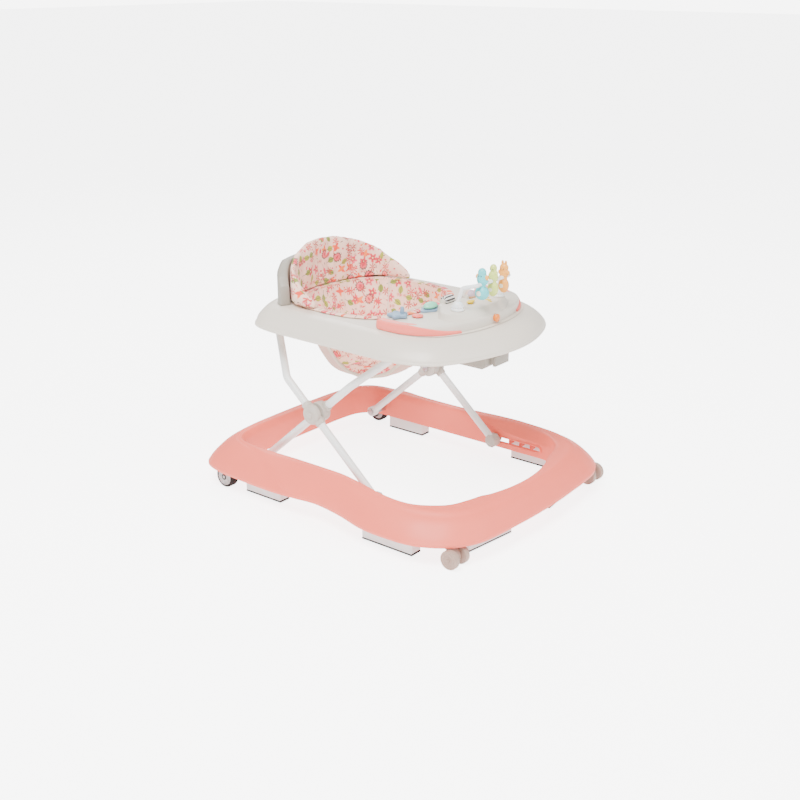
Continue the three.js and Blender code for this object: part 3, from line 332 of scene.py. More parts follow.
M = {
    "pink": plastic("ring_pink", (255, 116, 94), 0.5, 0.18, 0.03, coat=0.05),
    "shell": plastic("tray_shell_grey", (225, 216, 203), 0.38, 0.16, 0.025, coat=0.12),
    "console": plastic("console_grey", (219, 211, 199), 0.42, 0.2, 0.03),
    "support": plastic("support_grey", (156, 150, 139), 0.5, 0.3, 0.04),
    "trim": plastic("bumper_pink", (255, 118, 104), 0.4, 0.18, 0.03, coat=0.12),
    "hub": plastic("hub_grey", (190, 182, 172), 0.45, 0.3, 0.05, sub=0.15),
    "white": plastic("pad_white", (240, 242, 241), 0.4, 0.15, 0.02),
    "coat": plastic("tube_coat", (240, 242, 240), 0.3, 0.5, 0.02, coat=0.4),
    "caster": plastic("caster_beige", (172, 144, 130), 0.45, 0.3, 0.05),
    "disc": plastic("wheel_disc", (200, 192, 190), 0.42, 0.3, 0.05),
    "mint": plastic("mint", (132, 220, 184), 0.38, 0.2, 0.04, coat=0.2),
    "teal": plastic("teal", (92, 206, 212), 0.38, 0.2, 0.05, sub=0.08, coat=0.2),
    "lime": plastic("lime", (214, 226, 118), 0.38, 0.2, 0.05, sub=0.08, coat=0.2),
    "orange": plastic("soft_orange", (255, 172, 72), 0.38, 0.2, 0.05, sub=0.08, coat=0.2),
    "slate": plastic("slate_blue", (130, 158, 182), 0.42, 0.25, 0.05),
    "amber": plastic("amber", (255, 134, 24), 0.35, 0.2, 0.04, coat=0.3),
    "yellow": plastic("leaf_yellow", (230, 196, 36), 0.4, 0.2, 0.05),
    "dark": plastic("bracket_dark", (58, 50, 50), 0.5, 0.3, 0.1),
    "cream": plastic("cream", (246, 236, 214), 0.4, 0.15, 0.02),
    "steel": metal("pin_steel", (190, 192, 194), 0.3),
    "rubber": rubber("sole_rubber", (20, 19, 19)),
    "tyre": rubber("tyre_rubber", (38, 28, 26)),
    "print": fabric("cloth_print", (255, 212, 190)),
    "lining": fabric("cloth_lining", (226, 186, 168), printed=False),
    "binding": fabric("cloth_binding", (228, 212, 192), printed=False),
    "clear": plastic("arch_white", (240, 242, 242), 0.3, 0.15, 0.02, sub=0.3, coat=0.3),
}


# ------------------------------------------------------------------ mesh helpers
def crom(pts, n, closed=True):
    """Catmull-Rom curve through pts, n samples to a span."""
    p = np.asarray(pts, float)
    m, out = len(p), []
    for i in range(m if closed else m - 1):
        if closed:
            p0, p1, p2, p3 = p[(i - 1) % m], p[i], p[(i + 1) % m], p[(i + 2) % m]
        else:
            p1, p2 = p[i], p[i + 1]
            p0 = p[i - 1] if i > 0 else 2 * p1 - p2
            p3 = p[i + 2] if i + 2 < m else 2 * p2 - p1
        for k in range(n):
            t = k / n
            out.append(0.5 * (2 * p1 + (p2 - p0) * t + (2 * p0 - 5 * p1 + 4 * p2 - p3) * t * t + (3 * p1 - p0 - 3 * p2 + p3) * t ** 3))
    if not closed:
        out.append(p[-1])
    return np.array(out)


def ring_line(half, n):
    half = [list(h) for h in half]
    return crom(half + [[x, -y] for x, y in half[1:-1][::-1]], n)


def sm(x, a, b):
    t = np.clip((x - a) / (b - a), 0, 1)
    return t * t * (3 - 2 * t)


def push(a, b, d):
    v = b - a
    return a + v * d / max(np.linalg.norm(v), 1e-9)


def finish_mesh(ob, body, slot, nodes=(), mat=None, angle=35):
    me = ob.data
    bm = bmesh.new()
    bm.from_mesh(me)
    bmesh.ops.recalc_face_normals(bm, faces=bm.faces[:])
    bm.to_mesh(me)
    bm.free()
    me.polygons.foreach_set("use_smooth", [True] * len(me.polygons))
    me.set_sharp_from_angle(angle=math.radians(angle))
    if mat:
        me.materials.clear()
        for x in mat if isinstance(mat, (list, tuple)) else [mat]:
            me.materials.append(x)
    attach(ob, body)
    if nodes:
        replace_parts(ob, *nodes)
    return ob


def raw(name, verts, faces):
    v = (np.asarray(verts, float) + [SX, 0, 0]) / 1000
    me = bpy.data.meshes.new(name)
    me.from_pydata(v.tolist(), [], [list(map(int, f)) for f in faces])
    me.update()
    ob = bpy.data.objects.new(name, me)
    scene.collection.objects.link(ob)
    return ob


def grid_faces(n, m, loop_n, loop_m, off=0):
    f = []
    for i in range(n if loop_n else n - 1):
        for j in range(m if loop_m else m - 1):
            i2, j2 = (i + 1) % n, (j + 1) % m
            f.append((off + i * m + j, off + i2 * m + j, off + i2 * m + j2, off + i * m + j2))
    return f


def lathe(profile, centre, axis="Y", n=64, closed=False):
    """profile [[radius, along]] turned about an axis through centre (mm)."""
    pr = np.asarray(profile, float)
    v, f = [], []
    m = len(pr)
    for i in range(n):
        a = 2 * math.pi * i / n
        for r, h in pr:
            q = (r * math.cos(a), h, r * math.sin(a)) if axis == "Y" else (r * math.cos(a), r * math.sin(a), h) if axis == "Z" else (h, r * math.cos(a), r * math.sin(a))
            v.append([q[k] + centre[k] for k in range(3)])
    f = grid_faces(n, m, True, closed)
    return v, f


def sweep(path, radius, n=28, flat=None):
    """Tube along path (mm) with parallel-transported rings and closed ends. radius may vary."""
    p = np.asarray(path, float)
    k = len(p)
    rad = np.full(k, radius) if np.isscalar(radius) else np.asarray(radius)
    t = np.gradient(p, axis=0)
    t /= np.linalg.norm(t, axis=1)[:, None]
    ref = np.cross(t[0], [0, 0, 1.0])
    if np.linalg.norm(ref) < 1e-3:
        ref = np.cross(t[0], [1.0, 0, 0])
    ref /= np.linalg.norm(ref)
    v = []
    for i in range(k):
        ref = ref - t[i] * np.dot(ref, t[i])
        ref /= np.linalg.norm(ref)
        b = np.cross(t[i], ref)
        for j in range(n):
            a = 2 * math.pi * j / n
            v.append(p[i] + rad[i] * (math.cos(a) * ref + math.sin(a) * b))
    f = grid_faces(k, n, False, True)
    v += [p[0], p[-1]]
    for j in range(n):
        f.append((k * n, (j + 1) % n, j))
        f.append((k * n + 1, (k - 1) * n + j, (k - 1) * n + (j + 1) % n))
    return v, f


def bend_path(corners, radius, steps=8):
    c = [np.asarray(q, float) for q in corners]
    out = [c[0]]
    for i in range(1, len(c) - 1):
        a, b = c[i - 1] - c[i], c[i + 1] - c[i]
        la, lb = np.linalg.norm(a), np.linalg.norm(b)
        half = math.acos(np.clip(np.dot(a, b) / la / lb, -1, 1)) / 2
        if half > 1.55:
            continue
        t = min(radius / math.tan(half), la * 0.45, lb * 0.45)
        s, e = c[i] + a / la * t, c[i] + b / lb * t
        for k in range(steps + 1):
            u = k / steps
            out.append((1 - u) ** 2 * s + 2 * u * (1 - u) * c[i] + u * u * e)
    out.append(c[-1])
    return np.array(out)


def densify(path, step):
    out = [path[0]]
    for a, b in zip(path[:-1], path[1:]):
        n = max(1, int(np.linalg.norm(b - a) / step))
        out += [a + (b - a) * (k + 1) / n for k in range(n)]
    return np.array(out)


def merge(parts):
    v, f = [], []
    for pv, pf in parts:
        o = len(v)
        v += [list(map(float, q)) for q in pv]
        f += [tuple(int(i) + o for i in q) for q in pf]
    return v, f


def ellipsoid(c, r, nu=40, nv=24):
    v, f = [], []
    for i in range(nv + 1):
        th = math.pi * i / nv
        for j in range(nu):
            a = 2 * math.pi * j / nu
            v.append([c[0] + r[0] * math.sin(th) * math.cos(a), c[1] + r[1] * math.sin(th) * math.sin(a), c[2] + r[2] * math.cos(th)])
    return v, grid_faces(nv + 1, nu, False, True)


def prism(outline, z0, z1, edge=1.0, steps=3, bottom=True, plane="XY"):
    """Plate with rounded top (and bottom) edges. outline is counter-clockwise."""
    o = np.asarray(outline, float)
    nrm = np.roll(o, -1, 0) - np.roll(o, 1, 0)
    nrm = np.stack([nrm[:, 1], -nrm[:, 0]], 1)
    nrm /= np.linalg.norm(nrm, axis=1)[:, None]
    area = 0.5 * np.sum(o[:, 0] * np.roll(o[:, 1], -1) - np.roll(o[:, 0], -1) * o[:, 1])
    if area < 0:
        nrm = -nrm
    rows = []
    if bottom:
        for k in range(steps + 1):
            a = math.pi / 2 * k / steps
            rows.append((edge * (1 - math.sin(a)), z0 + edge * (1 - math.cos(a))))
    else:
        rows.append((0, z0))
    for k in range(steps + 1):
        a = math.pi / 2 * k / steps
        rows.append((edge * (1 - math.cos(a)), z1 - edge * (1 - math.sin(a))))
    v = []
    for ins, z in rows:
        for p, q in zip(o, nrm):
            x, y = p - q * ins
            v.append([x, y, z] if plane == "XY" else [x, z, y])
    m = len(o)
    f = grid_faces(len(rows), m, False, True)
    f.append(tuple(range(m))[::-1])
    f.append(tuple((len(rows) - 1) * m + i for i in range(m)))
    return v, f


def boolean(ob, cutters, op="DIFFERENCE"):
    bpy.context.view_layer.objects.active = ob
    for c in cutters:
        bm = bmesh.new()
        bm.from_mesh(c.data)
        bmesh.ops.recalc_face_normals(bm, faces=bm.faces[:])
        bm.to_mesh(c.data)
        bm.free()
        md = ob.modifiers.new("cut", "BOOLEAN")
        md.operation, md.object, md.solver = op, c, "EXACT"
    apply_all(ob)
    for c in cutters:
        bpy.data.objects.remove(c)


def apply_all(ob):
    dg = bpy.context.evaluated_depsgraph_get()
    dg.update()
    me = bpy.data.meshes.new_from_object(ob.evaluated_get(dg), preserve_all_data_layers=True, depsgraph=dg)
    ob.modifiers.clear()
    ob.data = me


def fix_normals(ob):
    bm = bmesh.new()
    bm.from_mesh(ob.data)
    bmesh.ops.remove_doubles(bm, verts=bm.verts[:], dist=1e-6)
    bmesh.ops.recalc_face_normals(bm, faces=bm.faces[:])
    bm.to_mesh(ob.data)
    bm.free()


def remesh(ob, size, smooth=0, factor=0.5):
    fix_normals(ob)
    md = ob.modifiers.new("remesh", "REMESH")
    md.mode, md.voxel_size = "VOXEL", size
    if smooth:
        s = ob.modifiers.new("smooth", "SMOOTH")
        s.iterations, s.factor = smooth, factor
    apply_all(ob)


def mirrored(v):
    return [[a, -b, c] for a, b, c in v]


def two(name, v, f, body, slot, nodes, mat, **k):
    """The same piece on both sides. Names ending in {s} take left or right."""
    for side, vv in (("left", v), ("right", mirrored(v))):
        finish_mesh(raw(name + "_" + side, vv, f), body.format(s=side), slot, [n.format(s=side) for n in nodes], mat, **k)

# ------------------------------------------------------------------ base ring
WALL = [[-318, 0], [-318, 70], [-317, 130], [-311, 178], [-294, 205], [-266, 217.5], [-200, 219], [-130, 219], [-60, 219], [0, 219],
        [60, 219], [120, 219], [190, 219], [217, 211], [242, 188], [256, 150], [264, 120], [274, 98], [285, 52], [289, 0]]
CR_IN = [[-323, 0], [-323, 70], [-322, 130], [-315, 181], [-297, 210], [-267, 222], [-200, 224], [-130, 221.5], [-60, 221], [0, 222],
         [60, 231], [120, 240], [178, 236], [214, 219], [243, 191], [258, 152], [266, 121], [276, 98.5], [287, 52], [291, 0]]
CR_OUT = [[-345, 0], [-344, 75], [-341, 135], [-331, 190], [-307, 226], [-268, 241], [-200, 244], [-130, 241], [-60, 240], [0, 243],
          [60, 252], [120, 260], [182, 260], [230, 247], [268, 220], [291, 180], [301, 130], [306, 98], [309, 52], [310, 0]]
SKIRT = [[-391, 0], [-390, 85], [-388, 150], [-379, 212], [-352, 262], [-300, 281], [-225, 286], [-140, 287], [-80, 281], [-26, 275],
         [45, 286], [115, 304], [185, 306], [245, 296], [298, 262], [328, 212], [338, 150], [341, 105], [344, 55], [345, 0]]
NB = 7
lines = [ring_line(q, NB) for q in (WALL, CR_IN, CR_OUT, SKIRT)]
sections = []
for w, c1, c2, o in zip(*lines):
    crown = 98 - 8 * sm(w[0], 0, 210)
    drop = crown - 2 - 40
    m1, m2 = c2 + (o - c2) * 0.42, c2 + (o - c2) * 0.8
    hi = crown - 13 - 9 * sm(w[0], 20, 130) * (1 - sm(w[0], 205, 262))
    P = lambda q, z: np.array([q[0], q[1], z])
    ctrl = [P(w, hi), P(c1, crown - 2), P((c1 + c2) / 2, crown), P(c2, crown - 2.2), P(m1, crown - 2 - drop * 0.26), P(m2, crown - 2 - drop * 0.62), P(o, 46)]
    top = crom(ctrl, 7, closed=False)
    # soft style line pressed into the shoulder
    v = np.linspace(0, 1, len(top))
    x, side = w[0], abs(w[1])
    rear = 1 - sm(x, -70, 10)
    vr = 0.30 + 0.74 * sm(x, -330, -30) if x > -385 else 0.3
    front = sm(x, -20, 90)
    vf = 0.52 + 0.06 * sm(x, 120, 320)
    tang = np.gradient(top, axis=0)
    out = (o - w) / max(np.linalg.norm(o - w), 1e-6)
    nrm = np.stack([tang[:, 2] * -out[0] * -1, tang[:, 2] * -out[1] * -1, np.hypot(tang[:, 0], tang[:, 1])], 1)
    nrm = np.stack([-tang[:, 2] * out[0], -tang[:, 2] * out[1], np.hypot(tang[:, 0], tang[:, 1])], 1)
    nrm /= np.maximum(np.linalg.norm(nrm, axis=1)[:, None], 1e-9)
    for amp, vc, on in ((1.5, vr, rear * sm(side, 20, 120) * sm(x, -392, -300)), (1.3, vf, front)):
        d = v - vc
        press = -amp * np.exp(-(d / 0.045) ** 2) + 0.7 * amp * np.exp(-((d + 0.11) / 0.07) ** 2)
        press *= on * (1 - sm(v, 0.93, 1.0)) * sm(v, 0.12, 0.25)
        top = top + nrm * press[:, None]
    o_in = push(o, w, 3.5)
    prof = [P(push(w, o, 0.8), 34), P(w, 34.9)] + [P(w, z) for z in (45, 60, hi - 8)] + list(top)
    prof += [P(o, 41), P(push(o, w, 0.7), 40.1), P(push(o, w, 1.8), 40), P(o_in, 41.2), P(o_in, 46)]
    inn = [P(push(m2, w, 2.8), crown - 4.8 - drop * 0.62), P(push(m1, w, 2.2), crown - 4.8 - drop * 0.26), P(push(c2, w, 1.2), crown - 6.6),
           P(push(c1, o, 2.4), crown - 6.6), P(push(w, o, 3), crown - 24), P(push(w, o, 3), 34.8), P(push(w, o, 2.2), 34)]
    sections.append(prof + inn)
n, m = len(sections), len(sections[0])
base = raw("ring_shell", np.array(sections).reshape(-1, 3), grid_faces(n, m, True, True))
cut = []
for s in (1, -1):
    slot_pts = [[181.8 + 4.9 * math.cos(a), 54.1 + 4.9 * math.sin(a)] for a in np.linspace(-math.pi / 2, math.pi / 2, 14)]
    slot_pts += [[72.8 + 4.9 * math.cos(a), 54.1 + 4.9 * math.sin(a)] for a in np.linspace(math.pi / 2, 3 * math.pi / 2, 14)]
    v, f = prism(slot_pts, 210, 225.5, 0.01, 1, plane="XZ")
    cut.append(raw("c", v if s > 0 else mirrored(v), f))
    v, f = lathe([[0, -10], [5.2, -10], [5.2, 10], [0, 10]], (-257.3, s * 220, 54.1), n=24)
    cut.append(raw("c", v, f))
    v, f = lathe([[0, -4], [3.2, -4], [3.2, 4], [0, 4]], (-240, s * 220, 71), n=20)
    cut.append(raw("c", v, f))
fix_normals(base)
boolean(base, cut)
finish_mesh(base, "base", "pink", ["base_ring"], M["pink"], angle=38)

# ribs, a rim round the slot and its end boss, all moulded into the ring
def ring_detail():
    parts = []
    for x in (100, 128, 156):
        v, f = prism([[x - 1.6, 226.5], [x + 1.6, 226.5], [x + 1.6, 262], [x - 1.6, 262]], 65, 76, 0.5, 2)
        parts.append((v, f))
        parts.append(prism([[x - 1.6, 229.4], [x + 1.6, 229.4], [x + 1.6, 262], [x - 1.6, 262]], 42, 70, 0.5, 2))
    slot = [[182 + 7.2 * math.cos(a), 54.1 + 7.2 * math.sin(a)] for a in np.linspace(-math.pi / 2, math.pi / 2, 18)]
    slot += [[72.8 + 7.2 * math.cos(a), 54.1 + 7.2 * math.sin(a)] for a in np.linspace(math.pi / 2, 3 * math.pi / 2, 18)]
    path = np.array([[x, 218.4, z] for x, z in slot] + [[slot[0][0], 218.4, slot[0][1]]])
    parts.append(sweep(densify(path, 4), 1.1, 10))
    arc = np.linspace(-math.pi / 2, math.pi / 2, 18)
    boss = prism([[181.8 + 9.0 * math.cos(t), 54.1 + 9.0 * math.sin(t)] for t in arc] + [[181.8 + 5.6 * math.cos(t), 54.1 + 5.6 * math.sin(t)] for t in arc[::-1]],
                 217.0, 219.6, 0.4, 2, plane="XZ")
    parts.append(boss)
    # screw bosses over the casters
    parts.append(lathe([[5.1, 45], [5.1, 58], [8.5, 58], [8.5, 45.4], [8.1, 45]], (284, 250, 0), "Z", 32, True))
    return merge(parts)


v, f = ring_detail()
two("ring_detail", v, f, "base", "pink", [], M["pink"])

# ------------------------------------------------------------------ wheels
ZR, ZC = 24 * math.cos(math.pi / 18), 19.5 * math.cos(math.pi / 16)
R = ZR
prof = [[18.6, -9], [18.8, -10.2], [20.2, -10.9], [R - 2.4, -10.6], [R - 0.8, -9.2], [R, -7], [R, -4.2], [R - 0.9, -3.8], [R - 0.9, -2.8], [R, -2.4],
        [R, 2.4], [R - 0.9, 2.8], [R - 0.9, 3.8], [R, 4.2], [R, 7], [R - 0.8, 9.2], [R - 2.4, 10.6], [20.2, 10.9], [18.8, 10.2], [18.6, 9]]
v, f = lathe(prof, (-300, 256, ZR), n=96, closed=True)
two("rear_tyre_skin", v, f, "rear_wheel_{s}", "tyre", ["rear_tyre_{s}"], M["tyre"])
prof = [[4.3, -8.5], [17.6, -8.5], [18.2, -8], [18.2, 9.6], [17.7, 10.3], [16.6, 10.4], [15.6, 9.6], [14.6, 8.4], [9.6, 8.2], [9, 8.9], [8.6, 10.4], [7.6, 10.9], [5.2, 10.9], [4.3, 10.4]]
v, f = lathe(prof, (-300, 256, ZR), n=80, closed=True)
parts = [(v, f)]
for k in range(6):                 # flat spokes pressed into the disc
    a = math.pi / 3 * k + 0.3
    ca, sa = math.cos(a), math.sin(a)
    o = [[8.6, -1.7], [15.4, -2.6], [15.4, 2.6], [8.6, 1.7]]
    o = [[-300 + p * ca - q * sa, ZR + p * sa + q * ca] for p, q in o]
    pv, pf = prism(o, 263.6, 265.6, 0.5, 2, plane="XZ")
    parts.append((pv, pf))
parts.append(lathe([[0, 11.9], [2.6, 11.8], [3.6, 11.3], [3.8, 10.4]], (-300, 256, ZR), n=32))
v, f = merge(parts)
two("rear_disc", v, f, "rear_wheel_{s}", "hub", ["rear_wheel_hub_{s}"], M["disc"])
R = ZC
prof = [[3.5, -6], [15.2, -6], [15.7, -5.6], [R - 1.7, -5.9], [R - 0.5, -5.2], [R, -3.6], [R, 3.6], [R - 0.5, 5.2], [R - 1.7, 5.9], [R - 2.8, 5.9], [R - 3.4, 5.3],
        [12.2, 4.9], [11.6, 5.6], [10.8, 5.6], [10.2, 4.9], [6, 4.6], [5.4, 5.8], [4.2, 6], [3.5, 5.6]]
for pos, q in (("outer", 1), ("inner", -1)):
    pr = [[r, h * q] for r, h in prof]
    v, f = lathe(pr, (300, 250 + q * 16, ZC), n=72, closed=True)
    cap = lathe([[0, q * 7.3], [1.8, q * 7.2], [2.9, q * 6.7], [3.3, q * 5.9]], (300, 250 + q * 16, ZC), n=24)
    v, f = merge([(v, f), cap])
    two("caster_roll_" + pos, v, f, "caster_wheel_body_" + pos + "_{s}", "caster", ["caster_wheel_" + pos + "_{s}"], M["caster"])

# ------------------------------------------------------------------ scissor legs
TH, ARM = math.radians(41.1), 219.0
PX, PZ = -257.3, 54.1
HX, HZ = PX + ARM * math.cos(TH), PZ + ARM * math.sin(TH)
TOPZ, FX = PZ + 2 * ARM * math.sin(TH), PX + 2 * ARM * math.cos(TH)
on_outer = lambda d, y: np.array([HX - d * math.cos(TH), y, HZ + d * math.sin(TH)])
on_inner = lambda d, y: np.array([HX + d * math.cos(TH), y, HZ + d * math.sin(TH)])


def u_tube(on, y, ytop, bend, short=0.0):
    left = [on(short - ARM, y), on(0, y), on(bend, y), on(ARM, ytop)]
    right = [np.array([q[0], -q[1], q[2]]) for q in left[::-1]]
    return densify(bend_path(left + right, 34, 10), 9)


v, f = sweep(u_tube(on_outer, 204, 130, 95), 8, 40)
finish_mesh(raw("outer_tube_skin", v, f), "outer_arms", "coat", ["outer_frame_tube"], M["coat"])
path = u_tube(on_inner, 181.5, 124, 107, 6)
parts = [sweep(path, 8, 40)]
for s in (1, -1):                  # flattened eyes at the lower ends
    pv, pf = lathe([[4.95, -8.5], [10.6, -8.5], [11.4, -7.7], [11.4, 7.7], [10.6, 8.5], [4.95, 8.5]], (PX, s * 181.5, PZ), n=48, closed=True)
    parts.append((pv, pf))
v, f = merge(parts)
finish_mesh(raw("inner_tube_skin", v, f), "inner_arms", "coat", ["inner_frame_tube"], M["coat"])


def hub(on, y0, depth, sign, r=21.0):
    """Moulded crossing joint: a round boss with a ring, and a collar along the tube each way."""
    d = depth
    face = [[0, d + 1.2], [5.6, d + 1.2], [6.4, d + 0.4], [6.6, d - 0.9], [10.4, d - 1.1], [11.0, d - 0.2], [12.0, d + 0.3], [16.2, d - 0.2], [r - 1.6, d - 1.8],
            [r - 0.2, d - 3.8], [r, d - 5.5], [r, 1.2], [r - 0.9, 0.2], [0, 0.2]]
    parts = [lathe([[a, b] for a, b in face], (HX, y0, HZ), n=72)]
    c = on(1, y0) - on(0, y0)
    for k in (1, -1):
        p = np.array([on(k * t, y0) for t in (10, 19, 24.5, 26.5, 28, 28.4)])
        parts.append(sweep(p, [10.6, 10.5, 10.4, 10.1, 9.3, 8.1], 36))
    for k in range(3):             # small screws
        a = TH + math.pi * (2 * k + 1) / 3
        sc = lathe([[0, d - 0.2], [1.0, d - 0.2], [1.1, d + 0.35], [2.3, d + 0.3], [2.6, d - 0.4]], (HX + 14.3 * math.cos(a), y0, HZ + 14.3 * math.sin(a)), n=20)
        parts.append(sc)
    return merge(parts)


v, f = hub(on_outer, 204, 12, 1)
two("hub_outer_skin", v, f, "outer_arms", "hub", ["hub_shell_outer_{s}"], M["hub"])
pv, pf = lathe([[0, -8], [16, -8], [20, -6.5], [20.6, -4], [20.8, 0], [20.8, 13.2], [20.2, 13.9], [0, 13.9]], (HX, 181.5, HZ), n=64)
parts = [(pv, pf)]
for k in (1, -1):
    p = np.array([on_inner(k * t, 181.5) for t in (10, 19, 24.5, 26.5, 28, 28.4)])
    parts.append(sweep(p, [10.6, 10.5, 10.4, 10.1, 9.3, 8.1], 36))
v, f = merge(parts)
two("hub_inner_skin", v, f, "inner_arms", "hub", ["hub_shell_inner_{s}"], M["hub"])

# ------------------------------------------------------------------ tray
HOLE = [[-238, 0], [-235, 52], [-222, 92], [-196, 122], [-158, 142], [-110, 149], [-60, 147], [-20, 137], [10, 115], [30, 78], [37, 40], [38, 0]]
DECK = [[-266, 0], [-264, 72], [-256, 128], [-234, 164], [-190, 178], [-125, 180], [-45, 180], [40, 180], [115, 176], [172, 146], [203, 78], [212, 0]]
RIM = [[-286, 0], [-285, 84], [-280, 148], [-256, 199], [-205, 219], [-125, 223], [-40, 224], [50, 225], [135, 222], [206, 187], [250, 98], [266, 0]]
NT_ = 12
sections = []
for h, d, r in zip(*[ring_line(q, NT_) for q in (HOLE, DECK, RIM)]):
    drop = 42.0
    P = lambda q, z: np.array([q[0], q[1], z])
    ctrl = [P(push(h, d, 4), 397.8), P(push(d, h, 9), 397.8), P(d, 397.3), P(d + (r - d) * 0.34, 398 - drop * 0.14), P(d + (r - d) * 0.72, 398 - drop * 0.46),
            P(d + (r - d) * 0.95, 398 - drop * 0.8), P(r, 359)]
    top = crom(ctrl, 6, closed=False)
    v = np.linspace(0, 1, len(top))
    x = h[0]
    vc = 0.80 + 0.10 * sm(x, -240, 60)
    dlt = v - vc
    out = (r - h) / np.linalg.norm(r - h)
    press = (-0.9 * np.exp(-(dlt / 0.035) ** 2) + 0.5 * np.exp(-((dlt + 0.09) / 0.06) ** 2)) * (1 - sm(v, 0.95, 1)) * (1 - sm(x, 10, 120))
    top = top + np.stack([out[0] * press, out[1] * press, press * 0.4], 1)
    lip = crom([P(h, 394), P(push(h, d, 0.8), 396.6), P(push(h, d, 2.2), 397.5)], 3, closed=False)
    ri = push(r, h, 3.0)
    prof = [P(push(h, r, 0.7), 374), P(h, 374.8), P(h, 384)] + list(lip) + list(top) + [P(r, 357), P(push(r, h, 0.8), 356.1), P(push(r, h, 2.2), 356.1), P(ri, 357), P(ri, 360)]
    inn = [P(push(d + (r - d) * 0.95, h, 3.2), 398 - drop * 0.8 - 1), P(push(d + (r - d) * 0.72, h, 2.6), 398 - drop * 0.46 - 2.6),
           P(push(d + (r - d) * 0.34, h, 2), 398 - drop * 0.14 - 3.2), P(push(d, h, 1), 393.5), P(push(h, r, 5), 393.5), P(push(h, r, 3), 392), P(push(h, r, 3), 375), P(push(h, r, 2.2), 374)]
    sections.append(prof + inn)
n, m = len(sections), len(sections[0])
tray = raw("tray_skin", np.array(sections).reshape(-1, 3), grid_faces(n, m, True, True))
finish_mesh(tray, "tray", "shell", ["tray_shell"], M["shell"], angle=40)

# ribs under the tray
parts = []
for x in (-170, -90, -10, 70, 150):
    for s in (1, -1):
        y1 = 186 if x < 100 else 161
        y0 = 157 if x < 100 else 132
        parts.append(prism([[x - 1, s * y0], [x + 1, s * y0], [x + 1, s * y1], [x - 1, s * y1]], 380, 392.6, 0.4, 1))
v, f = merge(parts)
finish_mesh(raw("tray_ribs", v, f), "tray", "shell", [], M["shell"])

# ------------------------------------------------------------------ backrest support
BACK = [[-258, 0, 507], [-256.5, 30, 506], [-252, 58, 502], [-240, 93, 492], [-226, 120, 481], [-214, 138, 471], [-199, 152, 460], [-178, 160, 447], [-150, 163, 432], [-124, 161, 416]]
BK = crom([[x, -y, z] for x, y, z in BACK[1:][::-1]] + BACK, 10, closed=False)
OUT = [[-269, 0], [-267.5, 45], [-262, 85], [-252, 118], [-238, 145], [-222, 163], [-205, 172]]
OC = crom([[x, -y] for x, y in OUT[1:][::-1]] + OUT, 10, closed=False)
sections = []
nn = len(OC)
for i, o in enumerate(OC):
    fr = abs(i / (nn - 1) - 0.5) * 2
    k = np.argmin(np.hypot(BK[:, 0] - o[0], BK[:, 1] - o[1]))
    q = push(BK[k][:2], o, 1.2)
    top = min(479, BK[k][2] - 7) - 13 * sm(fr, 0.86, 1.0)
    z0 = 398.4
    e = 3.0
    P = lambda a, z: [a[0], a[1], z]
    mid = (q + o) / 2
    sections.append([P(q, z0), P(q, 420), P(q, top - e), P(q + (o - q) * 0.06, top - 0.6), P(q + (o - q) * 0.3, top + 1), P(mid, top + 1.3), P(q + (o - q) * 0.72, top + 0.6),
                     P(q + (o - q) * 0.93, top - 1.6), P(o, top - 5), P(o, 420), P(o, 402), P(push(o, q, -1.2), z0)])
n, m = len(sections), len(sections[0])
V_ = np.array(sections).reshape(-1, 3)
F_ = grid_faces(n, m, False, True)
F_.append(tuple(range(m)))
F_.append(tuple((n - 1) * m + j for j in range(m))[::-1])
ob = raw("backrest_shell", V_, F_)
fix_normals(ob)
bv = ob.modifiers.new("b", "BEVEL")
bv.width, bv.segments, bv.limit_method, bv.angle_limit = 0.003, 4, "ANGLE", math.radians(50)
apply_all(ob)
finish_mesh(ob, "tray", "support", ["backrest_support"], M["support"], angle=45)

# ------------------------------------------------------------------ console
CLINE = [[75, 0], [78, 50], [83, 92], [74, 120], [60, 140], [48, 155], [46, 168], [56, 175.5], [82, 178], [114, 175.5], [148, 163], [174, 140], [192, 107], [203, 70], [209, 35], [210, 0]]
HLINE = [[104, 0], [103, 38], [107, 54], [120, 67], [132, 84], [146, 98], [164, 96], [184, 78], [198, 46], [203, 0]]
CZ, DZ, HZC = 398.6, 417.0, 431.0


def inset_line(line, d):
    t = np.roll(line, -1, 0) - np.roll(line, 1, 0)
    t /= np.linalg.norm(t, axis=1)[:, None]
    return line + np.stack([t[:, 1], -t[:, 0]], 1) * d     # outlines run clockwise from above


def stack(line, rows, lean=0.0, drape=0.0):
    v = []
    for ins, z in rows:
        back = lean * np.clip((z - DZ + 2) / (HZC - DZ), 0, 1) ** 1.4
        for p in inset_line(line, ins):
            low = drape * sm(p[0], 168, 206) if z < CZ + 0.1 else 0.0
            v.append([p[0] - back * sm(p[0], 150, 198), p[1], z - low])
    m = len(line)
    f = grid_faces(len(rows), m, False, True)
    f.append(tuple(range(m)))
    f.append(tuple((len(rows) - 1) * m + i for i in range(m))[::-1])
    return v, f


